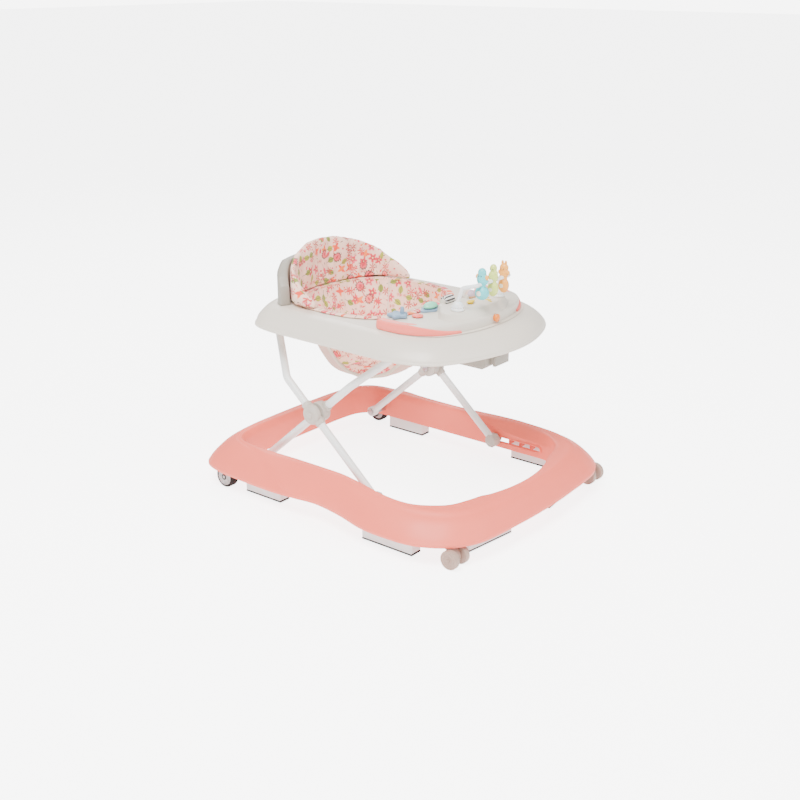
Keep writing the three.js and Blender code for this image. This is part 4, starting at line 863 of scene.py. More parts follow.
cl, hl = ring_line(CLINE, 10), ring_line(HLINE, 12)
v, f = stack(cl, [(3.3, CZ), (3.4, CZ + 6), (3.5, DZ - 6), (3.9, DZ - 3.6), (4.7, DZ - 1.7), (5.8, DZ - 0.5), (7.2, DZ)], drape=2.0)
console = raw("console_skin", v, f)
v, f = stack(hl, [(-2.5, DZ - 5), (-2.3, DZ - 0.8), (-1.0, DZ + 1.6), (0.2, DZ + 4.5), (1.0, HZC - 5), (1.6, HZC - 3), (2.8, HZC - 1.2), (4.5, HZC - 0.3), (6.5, HZC)], lean=9.0)
hump = raw("h", v, f)
fix_normals(console)
boolean(console, [hump], "UNION")
ROLL, SPIN, REL = (125, 30.5, 434), (112, -28, 435), (0, 409, 6.5)
cut = []
for (x, y, r, z) in ((92, -58, 6.6, DZ - 10), (104, -115, 8.6, DZ - 6), (75, -139, 5.6, DZ - 10), (156, -12, 5.6, HZC - 10), (165, -68, 7.4, HZC - 12), (165, 68, 7.4, HZC - 12)):
    v, f = lathe([[0, z], [r, z], [r, 470], [0, 470]], (x, y, 0), "Z", 48)
    cut.append(raw("c", v, f))


def rounded(x0, x1, y0, y1, r, n=8):
    out = []
    for cx, cy, a0 in ((x1 - r, y1 - r, 0), (x0 + r, y1 - r, 90), (x0 + r, y0 + r, 180), (x1 - r, y0 + r, 270)):
        for k in range(n + 1):
            a = math.radians(a0 + 90 * k / n)
            out.append([cx + r * math.cos(a), cy + r * math.sin(a)])
    return out


v, f = prism(rounded(113, 137, 14.5, 46.5, 4), 422, 470, 0.01, 1)
cut.append(raw("c", v, f))
v, f = prism(rounded(101, 123, -45.5, -10.5, 4), 424, 470, 0.01, 1)
cut.append(raw("c", v, f))
v, f = lathe([[0, 190.4], [6.9, 190.4], [6.9, 230], [0, 230]], (0, 0, 409), "X", 48)
cut.append(raw("c", v, f))
boolean(console, cut)
bv = console.modifiers.new("b", "BEVEL")
bv.width, bv.segments, bv.limit_method, bv.angle_limit = 0.0007, 2, "ANGLE", math.radians(50)
apply_all(console)
parts = []
for (x, y, z, a, b, low) in ((*ROLL, 11.8, 16.4, 421), (*SPIN, 14, 18, 423)):
    for s in (1, -1):
        arc = [[x + 5.5 * math.cos(t), z - 1.2 + 5.2 * math.sin(t)] for t in np.linspace(0, math.pi, 14)]
        prof = [[x + 5.5, low]] + arc + [[x - 5.5, low]]
        y0, y1 = (y + a, y + b) if s > 0 else (y - b, y - a)
        parts.append(prism(prof, y0, y1, 0.8, 2, plane="XZ"))
v, f = merge(parts)
cheeks = raw("console_detail", v, f)
finish_mesh(console, "console", "shell", ["console_body"], M["console"], angle=40)
finish_mesh(cheeks, "console", "shell", [], M["console"], angle=40)

# bumpers round the console's ends
full = CLINE + [[x, -y] for x, y in CLINE[1:-1][::-1]]


def cpt(u):
    """Point and tangent of the closed outline at u in 0..1, as the solid's."""
    p = np.asarray(full, float)
    m = len(p)
    t = (u % 1) * m
    i = int(math.floor(t)) % m
    t -= math.floor(t)
    p0, p1, p2, p3 = p[(i - 1) % m], p[i], p[(i + 1) % m], p[(i + 2) % m]
    q = 0.5 * (2 * p1 + (p2 - p0) * t + (2 * p0 - 5 * p1 + 4 * p2 - p3) * t * t + (3 * p1 - p0 - 3 * p2 + p3) * t ** 3)
    d = 0.5 * ((p2 - p0) + 2 * (2 * p0 - 5 * p1 + 4 * p2 - p3) * t + 3 * (3 * p1 - p0 - 3 * p2 + p3) * t * t)
    return q, d / np.linalg.norm(d)


secs = []
for i in np.linspace(8.8, 24.6, 120):
    q, t = cpt(i / 60)
    k = sm(i, 8.4, 10.2) * (1 - sm(i, 18.5, 25.0))
    top = (DZ + 0.9) * k + (DZ - 15.0) * (1 - k)
    lap = 2.9 + 12.5 * k
    wd = lambda d, z: [q[0] + t[1] * d, q[1] - t[0] * d, z - 1.6 * sm(q[0], 150, 196) * (z < CZ + 1)]
    h = top - CZ
    secs.append([wd(3.0, CZ), wd(3.0, CZ + h * 0.5), wd(3.6, CZ + h * 0.8), wd(min(lap, 6.0), CZ + h * 0.92), wd(lap, top - 0.9), wd(lap + 0.3 * k, top - 0.35), wd(lap - 0.6 * k, top), wd(lap * 0.78, top + 0.15), wd(lap * 0.52, top - 0.5),
                 wd(lap * 0.3, top - h * 0.10), wd(0.6, top - h * 0.22), wd(-0.4, top - h * 0.4), wd(-0.9, CZ + h * 0.36), wd(-0.8, CZ + 2), wd(-0.3, CZ + 0.4), wd(0.3, CZ)])
n, m = len(secs), len(secs[0])
fc = grid_faces(n, m, False, True) + [tuple(range(m)), tuple((n - 1) * m + j for j in range(m))[::-1]]
two("console_bumper_skin", np.array(secs).reshape(-1, 3).tolist(), fc, "console", "trim", ["console_bumper_{s}"], M["trim"])

# toy arch: ball feet with a beaded ring, and the bar
half = [(165, 68, 420), (165, 68, 447), (174, 66, 476), (199.5, 57, 482)]
pts = bend_path([(a, -b, c) for a, b, c in half] + half[::-1], 9, 12)
parts = [sweep(densify(pts, 2.5), 4, 28)]
for s in (1, -1):
    foot = [[0, 419.6], [6.4, 419.6], [6.5, HZC - 0.2], [12.8, HZC + 0.25], [13.4, HZC + 0.8], [13.4, HZC + 3.4], [12.8, HZC + 4.2], [11.4, HZC + 4.6], [11.0, HZC + 5.2]]
    for a in np.linspace(-0.2, 1.2, 12):
        foot.append([10.9 * math.cos(a), HZC + 8.6 + 10.4 * math.sin(a)])
    foot.append([3.9, HZC + 19.2])
    parts.append(lathe(foot, (165, s * 68, 0), "Z", 48))
v, f = merge(parts)
finish_mesh(raw("toy_arch_skin", v, f), "console", "white", ["toy_arch"], M["clear"], angle=50)
parts = []
for s in (1, -1):
    for k in range(14):
        a = 2 * math.pi * k / 14
        parts.append(ellipsoid((165 + 10.6 * math.cos(a), s * 68 + 10.6 * math.sin(a), HZC + 7.4 + 1.2 * (k % 2)), (1.7, 1.7, 1.9), 12, 8))
v, f = merge(parts)
finish_mesh(raw("arch_beads", v, f), "console", "white", [], M["clear"])

# the three figures
AX, AZ = 199.5, 482.0


def figure(name, y, blobs, body, slot, node, mat, cuts=()):
    ob = raw(name, *merge([ellipsoid((AX + dx, y + dy, AZ + dz), (rx, ry, rz)) for dx, dy, dz, rx, ry, rz in blobs]))
    remesh(ob, 0.00065, 10, 0.5)
    v, f = lathe([[0, -30], [4.3, -30], [4.3, 30], [0, 30]], (AX, y, AZ), n=40)
    hole = raw("c", v, f)
    cs = [hole]
    for cx, cz, ro, ri in cuts:    # a pressed ring on each face
        for s in (1, -1):
            v, f = lathe([[ri, -1], [ro, -1], [ro, 1], [ri, 1]], (AX + cx, y + s * cuts_y[name], AZ + cz), n=40, closed=True)
            cs.append(raw("c", v, f))
    boolean(ob, cs)
    finish_mesh(ob, body, slot, [node], mat, angle=60)
    return ob


cuts_y = {"bear_skin": 12.2, "bird_skin": 9.6, "fox_skin": 9.6}
figure("bear_skin", -37, [(0, 0, -17, 14.6, 12.2, 14.2), (0, 0, 2, 8.5, 7.5, 9), (0, 0, 10, 11.2, 9, 14), (-0.5, 0, 22, 8.6, 7.6, 9.6), (4, 0, 6, 8.5, 7.4, 8)], "bear", "teal", "toy_bear", M["teal"], [(0, -17, 9.2, 8.2)])
figure("bird_skin", 0, [(0, 0, -16, 11.6, 9.6, 15.6), (0, 0, 0, 7.5, 7, 8), (0, 0, 8, 10.2, 8.6, 12), (0, 0, 24, 7.2, 6.6, 8.4), (4, 0, 15, 6, 5, 6)], "bird", "lime", "toy_bird", M["lime"], [(0, -16, 7.4, 6.5)])
figure("fox_skin", 37, [(0, 0, -17, 11.2, 9.6, 15), (0, 0, -2, 7, 6.5, 8), (0, 0, 6, 9.2, 8, 9.4), (-8.6, 0, 9, 4.6, 4.4, 5.2), (8.6, 0, 9, 4.6, 4.4, 5.2), (0, 0, 18, 9.2, 7.6, 9),
                        (-3.8, 0, 28, 2.7, 2.7, 5.2), (3.8, 0, 28, 2.7, 2.7, 5.2)], "fox", "orange", "toy_fox", M["orange"], [(0, -17, 7.4, 6.5)])
# little ears, pale belly caps and eyes set into the figures
parts = [ellipsoid((AX + q * 10.6, -37, AZ + 14), (3.8, 4.2, 5.0), 28, 18) for q in (1, -1)]
v, f = merge(parts)
finish_mesh(raw("bear_ears", v, f), "bear", "orange", [], M["orange"])
for nm, y, half, body, r, face, dz in (("bear_dot", -37, 12.0, "bear", 5.2, 8.6, 17), ("bird_dot", 0, 9.4, "bird", 4.2, 6.6, 23), ("fox_dot", 37, 9.4, "fox", 4.4, 7.4, 17)):
    parts = [ellipsoid((AX, y + q * (half - 0.5), AZ - 16.6), (r, 0.9, r), 32, 14) for q in (1, -1)]
    v, f = merge(parts)
    finish_mesh(raw(nm, v, f), body, "white", [], M["cream"])
    parts = [ellipsoid((AX + w * 3.0, y + q * (face - 0.5), AZ + dz), (0.95, 0.9, 1.2), 14, 10) for q in (1, -1) for w in (1, -1)]
    v, f = merge(parts)
    finish_mesh(raw(nm.replace("dot", "eyes"), v, f), body, "dark", [], M["dark"])

# roller in three colours, turning between its cheeks
v, f = merge([ellipsoid(ROLL, (11.2, 11.2, 11.2), 56, 36), lathe([[0, -15.6], [2.1, -15.6], [2.4, -15.2], [2.4, 15.2], [2.1, 15.6], [0, 15.6]], (125, 30.5, 434), n=24)])
M["bands"] = banded("roller_bands", [(244, 176, 160), (240, 190, 140), (196, 172, 186), (236, 200, 186)], 2, 0.0, 1.5708, angular=True, centre=(0.148, 0.434))
finish_mesh(raw("roller_skin", v, f), "roller", "orange", ["roller_ball"], M["bands"])
# ribbed spinner in dark and light stripes
prof = [[0, -17], [2.2, -17], [2.4, -16.6], [2.4, -13.6], [7.4, -13.5], [8.4, -12.8]]
for k in range(7):
    y0 = -12.4 + k * 3.55
    prof += [[8.9 + 0.5 * math.sin(math.pi * (k + 0.5) / 7), y0 + 0.5], [8.9 + 0.5 * math.sin(math.pi * (k + 0.5) / 7), y0 + 2.9], [8.2, y0 + 3.3]]
prof += [[8.4, 12.8], [7.4, 13.5], [2.4, 13.6], [2.4, 16.6], [2.2, 17], [0, 17]]
v, f = lathe(prof, SPIN, n=64)
M["stripe"] = banded("spinner_stripes", [(62, 60, 64), (236, 234, 230)], 2, 0.0, 2 * math.pi / 16, angular=True, centre=(0.135, 0.435))
finish_mesh(raw("spinner_skin", v, f), "spinner", "dark", ["striped_spinner"], M["stripe"], angle=50)


# buttons and knob
def button(name, c, rx, ry, h, stem, depth, lift, body, slot, node, mat, groove=0.0, lobes=0):
    rows, v = [], []
    prof = [(0.0, 1.0)] + [(math.sin(a), math.cos(a)) for a in np.linspace(0.06, math.pi / 2, 16)]
    N = 72
    v.append([c[0], c[1], c[2] + h])
    ringsz = []
    for a in np.linspace(0.08, math.pi / 2, 18):
        ringsz.append((math.sin(a), h * math.cos(a)))
    ringsz += [(1.0, -lift * 0.3), (0.97, -lift * 0.55), (0.9, -lift * 0.6)]
    for k, z in ringsz:
        g = 1 - groove * math.exp(-((k - 0.62) / 0.05) ** 2)
        for j in range(N):
            a = 2 * math.pi * j / N
            w = 1 + (0.07 * math.cos(lobes * a) * k if lobes else 0) - (0.06 * k if lobes else 0)
            v.append([c[0] + rx * k * w * math.cos(a), c[1] + ry * k * w * math.sin(a), c[2] + z * g])
    f = [(0, 1 + j, 1 + (j + 1) % N) for j in range(N)]
    for i in range(len(ringsz) - 1):
        for j in range(N):
            f.append((1 + i * N + j, 1 + (i + 1) * N + j, 1 + (i + 1) * N + (j + 1) % N, 1 + i * N + (j + 1) % N))
    f.append(tuple(1 + (len(ringsz) - 1) * N + j for j in range(N))[::-1])
    st = lathe([[0, c[2] - depth], [stem - 0.3, c[2] - depth], [stem, c[2] - depth + 0.4], [stem, c[2]], [0, c[2]]], (c[0], c[1], 0), "Z", 40)
    v, f = merge([(v, f), st])
    finish_mesh(raw(name, v, f), body, slot, [node], mat, angle=50)


button("mint_skin", (92, -58, DZ + 7.5), 12, 18, 9, 5.8, 13, 1.0, "mint", "mint", "mint_button", M["mint"], 0.05)
button("pink_skin", (104, -115, DZ + 2.8), 12.4, 11.4, 3.6, 7.7, 5, 0.8, "pink", "trim", "pink_button", M["trim"], 0.22, lobes=6)
# leaf button: two rounded leaves on one stem
leafs = []
for sgn, ln in ((1, 10.5), (-1, 10.5)):
    o = []
    for t in np.linspace(0, 2 * math.pi, 60, endpoint=False):
        u, w = math.cos(t), math.sin(t)
        o.append([156 + 5.6 * w * (1 - 0.35 * u * sgn), -12 + sgn * 4.8 + 7.2 * u])
    leafs.append(prism(o, HZC + 2.7, HZC + 5.6, 1.3, 4))
leafs.append(prism([[156 + 6.2 * math.cos(t), -12 + 3.2 * math.sin(t)] for t in np.linspace(0, 2 * math.pi, 40, endpoint=False)], HZC + 3.0, HZC + 6.0, 1.3, 4))
leafs.append(lathe([[0, HZC - 6], [4.8, HZC - 6], [4.8, HZC + 3], [0, HZC + 3]], (156, -12, 0), "Z", 36))
v, f = merge(leafs)
finish_mesh(raw("leaf_skin", v, f), "leaf", "yellow", ["leaf_button"], M["yellow"], angle=50)
# loose leaf reliefs on the hump beside the toys
rel = []
for cx, cy, a in ((166, 33, 0.3), (157, 42, 1.3), (176, 26, -0.4)):
    o = []
    for t in np.linspace(0, 2 * math.pi, 40, endpoint=False):
        px, py = 6.6 * math.cos(t), 2.9 * math.sin(t) * (1 - 0.3 * math.cos(t))
        o.append([cx + px * math.cos(a) - py * math.sin(a), cy + px * math.sin(a) + py * math.cos(a)])
    rel.append(prism(o, HZC - 0.4, HZC + 1.1, 0.7, 3))
v, f = merge(rel)
finish_mesh(raw("leaf_relief", v, f), "console", "yellow", [], M["yellow"], angle=50)
# five-lobed knob with an upright grip
star = []
for i in range(140):
    a = 2 * math.pi * i / 140
    r = 18.2 + 3.2 * math.cos(5 * a)
    star.append([75 + r * math.cos(a), -139 + r * math.sin(a)])
parts = [prism(star, DZ + 1, DZ + 8, 2.4, 6)]
fin = [[77.5 + 8.4 * u, DZ + 6 + 15.6 * (1 - abs(2 * u - 1) ** 4.0) ** 0.5 if 0 < u < 1 else DZ + 6] for u in np.linspace(0, 1, 30)]
parts.append(prism(fin, -136.8, -131.2, 1.3, 4, plane="XZ"))
parts.append(lathe([[0, DZ - 9], [4.6, DZ - 9], [4.8, DZ - 8.6], [4.8, DZ + 3], [0, DZ + 3]], (75, -139, 0), "Z", 36))
for k in range(5):                 # a bump on each lobe
    a = 2 * math.pi * k / 5
    parts.append(ellipsoid((75 + 13.4 * math.cos(a), -139 + 13.4 * math.sin(a), DZ + 7.8), (3.4, 3.4, 1.1), 28, 12))
v, f = merge(parts)
finish_mesh(raw("knob_skin", v, f), "knob", "slate", ["star_knob"], M["slate"], angle=50)
# release button on the front wall
v, f = merge([lathe([[0, 195], [6.2, 195], [6.5, 195.4], [6.5, 210], [7.8, 210.6], [8.0, 211.6], [7.6, 212.9], [6.2, 214.0], [5.4, 213.8], [4.6, 214.4], [2.4, 215.2], [0, 215.4]], (0, 0, 409), "X", 56)])
finish_mesh(raw("release_skin", v, f), "release", "amber", ["release_button"], M["amber"], angle=50)

# ------------------------------------------------------------------ seat: printed cover on the backrest
SEAM_Z = 399.5


def uv_cloth(ob, fn):
    """fn(x, y, z in mm, world normal) -> (u, v) in metres, written per corner."""
    me = ob.data
    layer = me.uv_layers.get("cloth") or me.uv_layers.new(name="cloth")
    for p in me.polygons:
        nrm = p.normal
        for li in p.loop_indices:
            c = me.vertices[me.loops[li].vertex_index].co
            layer.data[li].uv = fn(c.x * 1000 - SX, c.y * 1000, c.z * 1000, nrm)


BKL = np.concatenate([[0], np.cumsum(np.linalg.norm(np.diff(BK[:, :2], axis=0), axis=1))])


def along_back(x, y):
    d = np.hypot(BK[:, 0] - x, BK[:, 1] - y)
    return BKL[int(np.argmin(d))]


def frame_at(s):
    """Point, inward normal and top height of the backrest's curve at arc length s (mm)."""
    s = float(np.clip(s, 0, BKL[-1]))
    p = [np.interp(s, BKL, BK[:, k]) for k in range(3)]
    a = [np.interp(min(s + 3, BKL[-1]), BKL, BK[:, k]) for k in range(2)]
    b = [np.interp(max(s - 3, 0), BKL, BK[:, k]) for k in range(2)]
    t = np.array([a[0] - b[0], a[1] - b[1]])
    t /= np.linalg.norm(t)
    nrm = np.array([-t[1], t[0]])
    if np.dot(nrm, np.array([-60 - p[0], -p[1]])) < 0:
        nrm = -nrm
    return np.array(p), nrm


def pad_form(shrink):
    """Closed form of the stuffed cover: a thick band along the curve, crowned at the top."""
    secs = []
    L = BKL[-1]
    for i in range(61):
        s = L * i / 60
        p, nr = frame_at(s)
        fr = abs(i / 60 - 0.5) * 2
        top = p[2] + 2.0 - shrink
        T = 23 * (0.72 + 0.28 * math.sin(math.pi * i / 60)) + 5.0 * math.exp(-((fr - 0.80) / 0.13) ** 2)
        o0 = 1.2 + shrink * 0.5           # clear of the moulded support
        bulge = 7.0 * sm(p[0], -196, -176) * (1 - sm(p[0], -138, -124))
        T -= shrink
        zb = 402.2
        e = min(9.0, (top - zb) * 0.4)
        q = lambda d, z: [p[0] + nr[0] * d, p[1] + nr[1] * d, z]
        cols = [q(o0 - bulge * 0.6, zb), q(o0 - bulge, (zb + top) / 2), q(o0 - bulge * 0.5, top - e)]
        for a in np.linspace(0, math.pi, 9)[1:-1]:
            cols.append(q(o0 + (T - o0) / 2 * (1 - math.cos(a)), top - e + e * math.sin(a)))
        cols += [q(T, top - e), q(T, (zb + top) / 2), q(T, zb)]
        secs.append(cols)
    n, m = len(secs), len(secs[0])
    f = grid_faces(n, m, False, True) + [tuple(range(m)), tuple((n - 1) * m + j for j in range(m))[::-1]]
    return np.array(secs).reshape(-1, 3), f


def simulate(ob, pressure, frames, pin=None, shrink=0.0, quality=6, gravity=0.0, stiff=12.0, bend=3.0, mass=0.3):
    md = ob.modifiers.new("cloth", "CLOTH")
    s = md.settings
    s.quality, s.mass, s.air_damping = quality, mass, 2.0
    s.tension_stiffness = s.compression_stiffness = stiff
    s.shear_stiffness, s.bending_stiffness = stiff * 0.6, bend
    s.tension_damping = s.compression_damping = s.shear_damping = 8
    s.effector_weights.gravity = gravity
    if pressure:
        s.use_pressure, s.uniform_pressure_force = True, pressure
    if pin:
        s.vertex_group_mass, s.pin_stiffness = pin, 1.0
    s.shrink_min = shrink
    md.collision_settings.use_collision = False
    md.collision_settings.use_self_collision = False
    md.point_cache.frame_start, md.point_cache.frame_end = 1, frames
    for k in range(1, frames + 1):
        scene.frame_set(k)
    apply_all(ob)
    scene.frame_set(1)


def limit_to(ob, before, cap):
    """Keeps every vertex within cap metres of where it started."""
    for v, b in zip(ob.data.vertices, before):
        d = v.co - b
        if d.length > cap:
            v.co = b + d * (cap / d.length)


v, f = pad_form(4.0)
pad = raw("backrest_cover", v, f)
remesh(pad, 0.0050, 5, 0.5)
start = [x.co.copy() for x in pad.data.vertices]
g = pad.vertex_groups.new(name="pin")
for x in pad.data.vertices:
    z = x.co.z * 1000
    p, nr = frame_at(along_back(x.co.x * 1000 - SX, x.co.y * 1000))
    d = (x.co.x * 1000 - SX - p[0]) * nr[0] + (x.co.y * 1000 - p[1]) * nr[1]
    w = 1.0 if z < 405.5 else 0.0
    if d < 5.0:
        w = max(w, 0.75)          # the back of the cover lies against its support
    if w:
        g.add([x.index], w, "REPLACE")
simulate(pad, 4.0, 14, pin="pin", shrink=-0.03, quality=4)
limit_to(pad, start, 0.0085)
pad.vertex_groups.clear()
# soft folds where the cover wraps the near wing, and dimples along the seams
me = pad.data
nrm = [x.normal.copy() for x in me.vertices]
L = BKL[-1]
for x, nn_ in zip(me.vertices, nrm):
    X, Y, Z = x.co.x * 1000 - SX, x.co.y * 1000, x.co.z * 1000
    s = along_back(X, Y)
    p, nr = frame_at(s)
    d = (X - p[0]) * nr[0] + (Y - p[1]) * nr[1]
    inner = sm(d, 9, 15)
    fr = abs(s / L - 0.5) * 2
    amt = 0.0
    h = (Z - 402) / max(p[2] - 402, 1)
    # vertical folds in the curved ends
    for c, w, a in ((0.47, 0.02, 1.6), (0.60, 0.018, 2.0), (0.73, 0.018, 1.7), (0.85, 0.016, 1.3)):
        amt -= a * math.exp(-((fr - c - 0.03 * math.sin(Z / 17.0)) / w) ** 2) * sm(h, -0.05, 0.2) * (1 - sm(h, 0.55, 0.98))
    # sewn lines: two upright panel seams
    amt -= 2.2 * math.exp(-((fr - 0.34) / 0.011) ** 2) * inner
    wob = noise.noise(Vector((X * 0.021, Y * 0.021, Z * 0.028)))
    amt += 1.5 * wob + 0.6 * noise.noise(Vector((X * 0.06, Y * 0.06, Z * 0.06)))
    x.co += nn_ * (amt * 0.001 * (0.35 + 0.65 * inner))
md = pad.modifiers.new("sub", "SUBSURF")
md.levels = md.render_levels = 1
apply_all(pad)
uv_cloth(pad, lambda x, y, z, n: ((along_back(x, y)) / 1000, z / 1000) if abs(n.z) < 0.8 else (along_back(x, y) / 1000, (z + 0.0) / 1000 + 0.004))
finish_mesh(pad, "tray", "fabric", ["backrest_pad"], M["print"], angle=80)
PADTREE = BVHTree.FromObject(pad, bpy.context.evaluated_depsgraph_get())


def on_cloth(tree, p, direction, off):
    """Moves p (mm) to the cloth along direction, then off it by off mm."""
    o = Vector(((p[0] + SX) / 1000, p[1] / 1000, p[2] / 1000))
    d = Vector(direction).normalized()
    hit, hn, _, _ = tree.ray_cast(o, d, 0.12)
    if hit is None:
        return None
    hit = hit - d * (off / 1000)
    return [hit.x * 1000 - SX, hit.y * 1000, hit.z * 1000]


# piping along the crown of the cover
pts = []
for s in np.linspace(8, L - 8, 150):
    p, nr = frame_at(s)
    q = on_cloth(PADTREE, [p[0] + nr[0] * 6.0, p[1] + nr[1] * 6.0, p[2] + 30], (0, 0, -1), 0.2)
    if q:
        pts.append(q)
pts = np.array(pts)
for _ in range(6):
    pts[1:-1] = (pts[:-2] + 2 * pts[1:-1] + pts[2:]) / 4
pipe = raw("backrest_piping", *sweep(pts, 1.3, 12))
uv_cloth(pipe, lambda x, y, z, n: (x / 1000 + y / 1000, z / 1000))
finish_mesh(pipe, "tray", "fabric", [], M["print"], angle=80)

# stitches: short threads laid along the seams
def stitches(name, lines, tree, direction, mat, pitch=3.2, length=2.1, r=0.28, off=0.15, body="tray"):
    parts = []
    for line in lines:
        line = np.asarray(line, float)
        seg = np.concatenate([[0], np.cumsum(np.linalg.norm(np.diff(line, axis=0), axis=1))])
        t = 0.0
        while t + length < seg[-1]:
            ends = []
            for u in (t, t + length / 2, t + length):
                q = np.array([np.interp(u, seg, line[:, k]) for k in range(3)])
                dr = direction(q) if callable(direction) else direction
                h = on_cloth(tree, q, dr, off) if tree else list(q)
                if h is None:
                    break
                ends.append(h)
            if len(ends) == 3 and np.linalg.norm(np.array(ends[0]) - ends[2]) < length * 1.8:
                parts.append(sweep(np.array(ends), [r * 0.7, r, r * 0.7], 6))
            t += pitch
    if not parts:
        return None
    ob = raw(name, *merge(parts))
    finish_mesh(ob, body, "fabric", [], mat, angle=80)
    return ob


M["thread"] = plastic("thread", (236, 206, 196), 0.8, 0.3, 0.08)
lines = []
for side in (-1, 1):
    s = L * (0.5 + side * 0.17)
    p, nr = frame_at(s)
    for dd in (-2.4, 2.4):
        p2, n2 = frame_at(s + dd)
        lines.append([[p2[0] + n2[0] * 60, p2[1] + n2[1] * 60, z] for z in np.linspace(408, p2[2] - 9, 40)])
inward = lambda q: (lambda fr_: (-fr_[1][0], -fr_[1][1], 0))(frame_at(along_back(q[0], q[1])))
stitches("backrest_stitches", lines, PADTREE, inward, M["thread"])

# ------------------------------------------------------------------ seat: cloth sling
CXS = -98.0
hole = ring_line(HOLE, 8)
NU = len(hole)


def sling_ring(z, k, grow):
    d = hole - [CXS, 0]
    l = np.linalg.norm(d, axis=1)[:, None]
    q = np.array([CXS, 0]) + d / l * (l * k + grow)
    return np.column_stack([q, np.full(len(q), z)])


PROF = [(402.4, 1.0, -3.2), (398, 1.0, -3.4), (388, 1.0, -3.6), (374, 1.0, -3.8), (352, 0.93, -2.0), (328, 0.868, -2.2), (305, 0.80, -2.2), (283, 0.715, -2.0), (266, 0.63, -1.6), (255, 0.53, -0.6), (250, 0.40, 0), (248.6, 0.25, 0), (248, 0.10, 0)]
pr = crom(PROF, 4, closed=False)
rows = np.array([sling_ring(z, k, g) for z, k, g in pr])
nR = len(rows)
v = rows.reshape(-1, 3).tolist() + [[CXS, 0, 248]]
f = grid_faces(nR, NU, False, True)
f += [((nR - 1) * NU + j, (nR - 1) * NU + (j + 1) % NU, nR * NU) for j in range(NU)]
LEG = (-60, 308, 74, 48.5)
leg_v = lambda x, z: ((x - LEG[0]) / LEG[2]) ** 2 + ((z - LEG[1]) / LEG[3]) ** 2
va = np.array(v)
# pull nearby rows of vertices onto the leg openings' edge, then drop what lies inside
inside = (leg_v(va[:, 0], va[:, 2]) < 1) & (np.abs(va[:, 1]) > 34)
keep = [q for q in f if not all(inside[i] for i in q)]
used = set(i for q in keep for i in q)
edge = [i for i in used if inside[i]]
for i in edge:
    a = math.atan2((va[i, 2] - LEG[1]) / LEG[3], (va[i, 0] - LEG[0]) / LEG[2])
    va[i, 0], va[i, 2] = LEG[0] + LEG[2] * math.cos(a), LEG[1] + LEG[3] * math.sin(a)
order = sorted(used)
back_ix = {i: k for k, i in enumerate(order)}
sling = raw("seat_sling_cloth", va[order], [[back_ix[i] for i in q] for q in keep])
me = sling.data
uv0 = {}
arc = np.concatenate([[0], np.cumsum(np.linalg.norm(np.diff(hole, axis=0), axis=1))])
meri = np.concatenate([[0], np.cumsum(np.linalg.norm(np.diff(rows[:, 0], axis=0), axis=1))])
layer = me.uv_layers.new(name="cloth")
for p in me.polygons:
    ids = [order[me.loops[l].vertex_index] for l in p.loop_indices]
    js = [i % NU if i < nR * NU else None for i in ids]
    known = [j for j in js if j is not None]
    wrap = max(known) - min(known) > NU / 2
    for l, i, j in zip(p.loop_indices, ids, js):
        row = i // NU if i < nR * NU else nR
        if pr[min(row, nR - 1)][0] < 262:     # base panel is cut flat
            c = me.vertices[me.loops[l].vertex_index].co
            layer.data[l].uv = (c.x, c.y + 2.0)
            continue
        jj = known[0] if j is None else j
        u = (arc[jj] if not (wrap and jj < NU / 2) else arc[-1] + np.linalg.norm(hole[-1] - hole[0]) + arc[jj]) / 1000
        layer.data[l].uv = (u, 0.4 - meri[min(row, nR - 1)] / 1000 + 0.05)
g = sling.vertex_groups.new(name="pin")
for k, i in enumerate(order):
    if i < NU * 5 or va[i, 2] < 249:
        g.add([k], 1.0, "REPLACE")
    elif i < NU * 8:
        g.add([k], 0.35, "REPLACE")
start = [x.co.copy() for x in me.vertices]
simulate(sling, 0.0, 18, pin="pin", shrink=-0.035, quality=4, gravity=1.0, stiff=14.0, bend=1.2, mass=0.2)
limit_to(sling, start, 0.007)
sling.vertex_groups.clear()
me = sling.data
nrm = [x.normal.copy() for x in me.vertices]
for x, nn_ in zip(me.vertices, nrm):
    X, Y, Z = x.co.x * 1000 - SX, x.co.y * 1000, x.co.z * 1000
    hold = sm(Z, 396, 372)
    a = math.atan2(Y, X - CXS)
    fold = 1.1 * math.sin(a * 31 + 1.4 * math.sin(a * 5)) * sm(Z, 395, 380) * sm(Z, 325, 350) + 0.7 * noise.noise(Vector((X * 0.05, Y * 0.05, Z * 0.03)))
    x.co += nn_ * 0.001 * fold * (0.2 + 0.8 * (1 - hold if Z > 396 else 1))
edges = {}
for p in me.polygons:
    for e in p.edge_keys:
        edges[e] = edges.get(e, 0) + 1
border = [e for e, c in edges.items() if c == 1]
nxt = {}
for a, b in border:
    nxt.setdefault(a, []).append(b)
    nxt.setdefault(b, []).append(a)
loops, seen = [], set()
for a in nxt:
    if a in seen:
        continue
    loop, cur, prev = [a], a, None
    seen.add(a)
    while True:
        c = [b for b in nxt[cur] if b != prev and b not in seen]
        if not c:
            break
        prev, cur = cur, c[0]
        seen.add(cur)
        loop.append(cur)
    loops.append(loop)
EDGES = []
for lp in loops:
    q = np.array([[me.vertices[i].co.x * 1000 - SX, me.vertices[i].co.y * 1000, me.vertices[i].co.z * 1000] for i in lp])
    EDGES.append(q)
sol = sling.modifiers.new("thick", "SOLIDIFY")
sol.thickness, sol.offset, sol.use_even_offset = 0.0022, 0.0, False
sol.material_offset, sol.material_offset_rim = 1, 1
sub = sling.modifiers.new("sub", "SUBSURF")
sub.levels = sub.render_levels = 1
me.materials.append(M["print"])
me.materials.append(M["lining"])
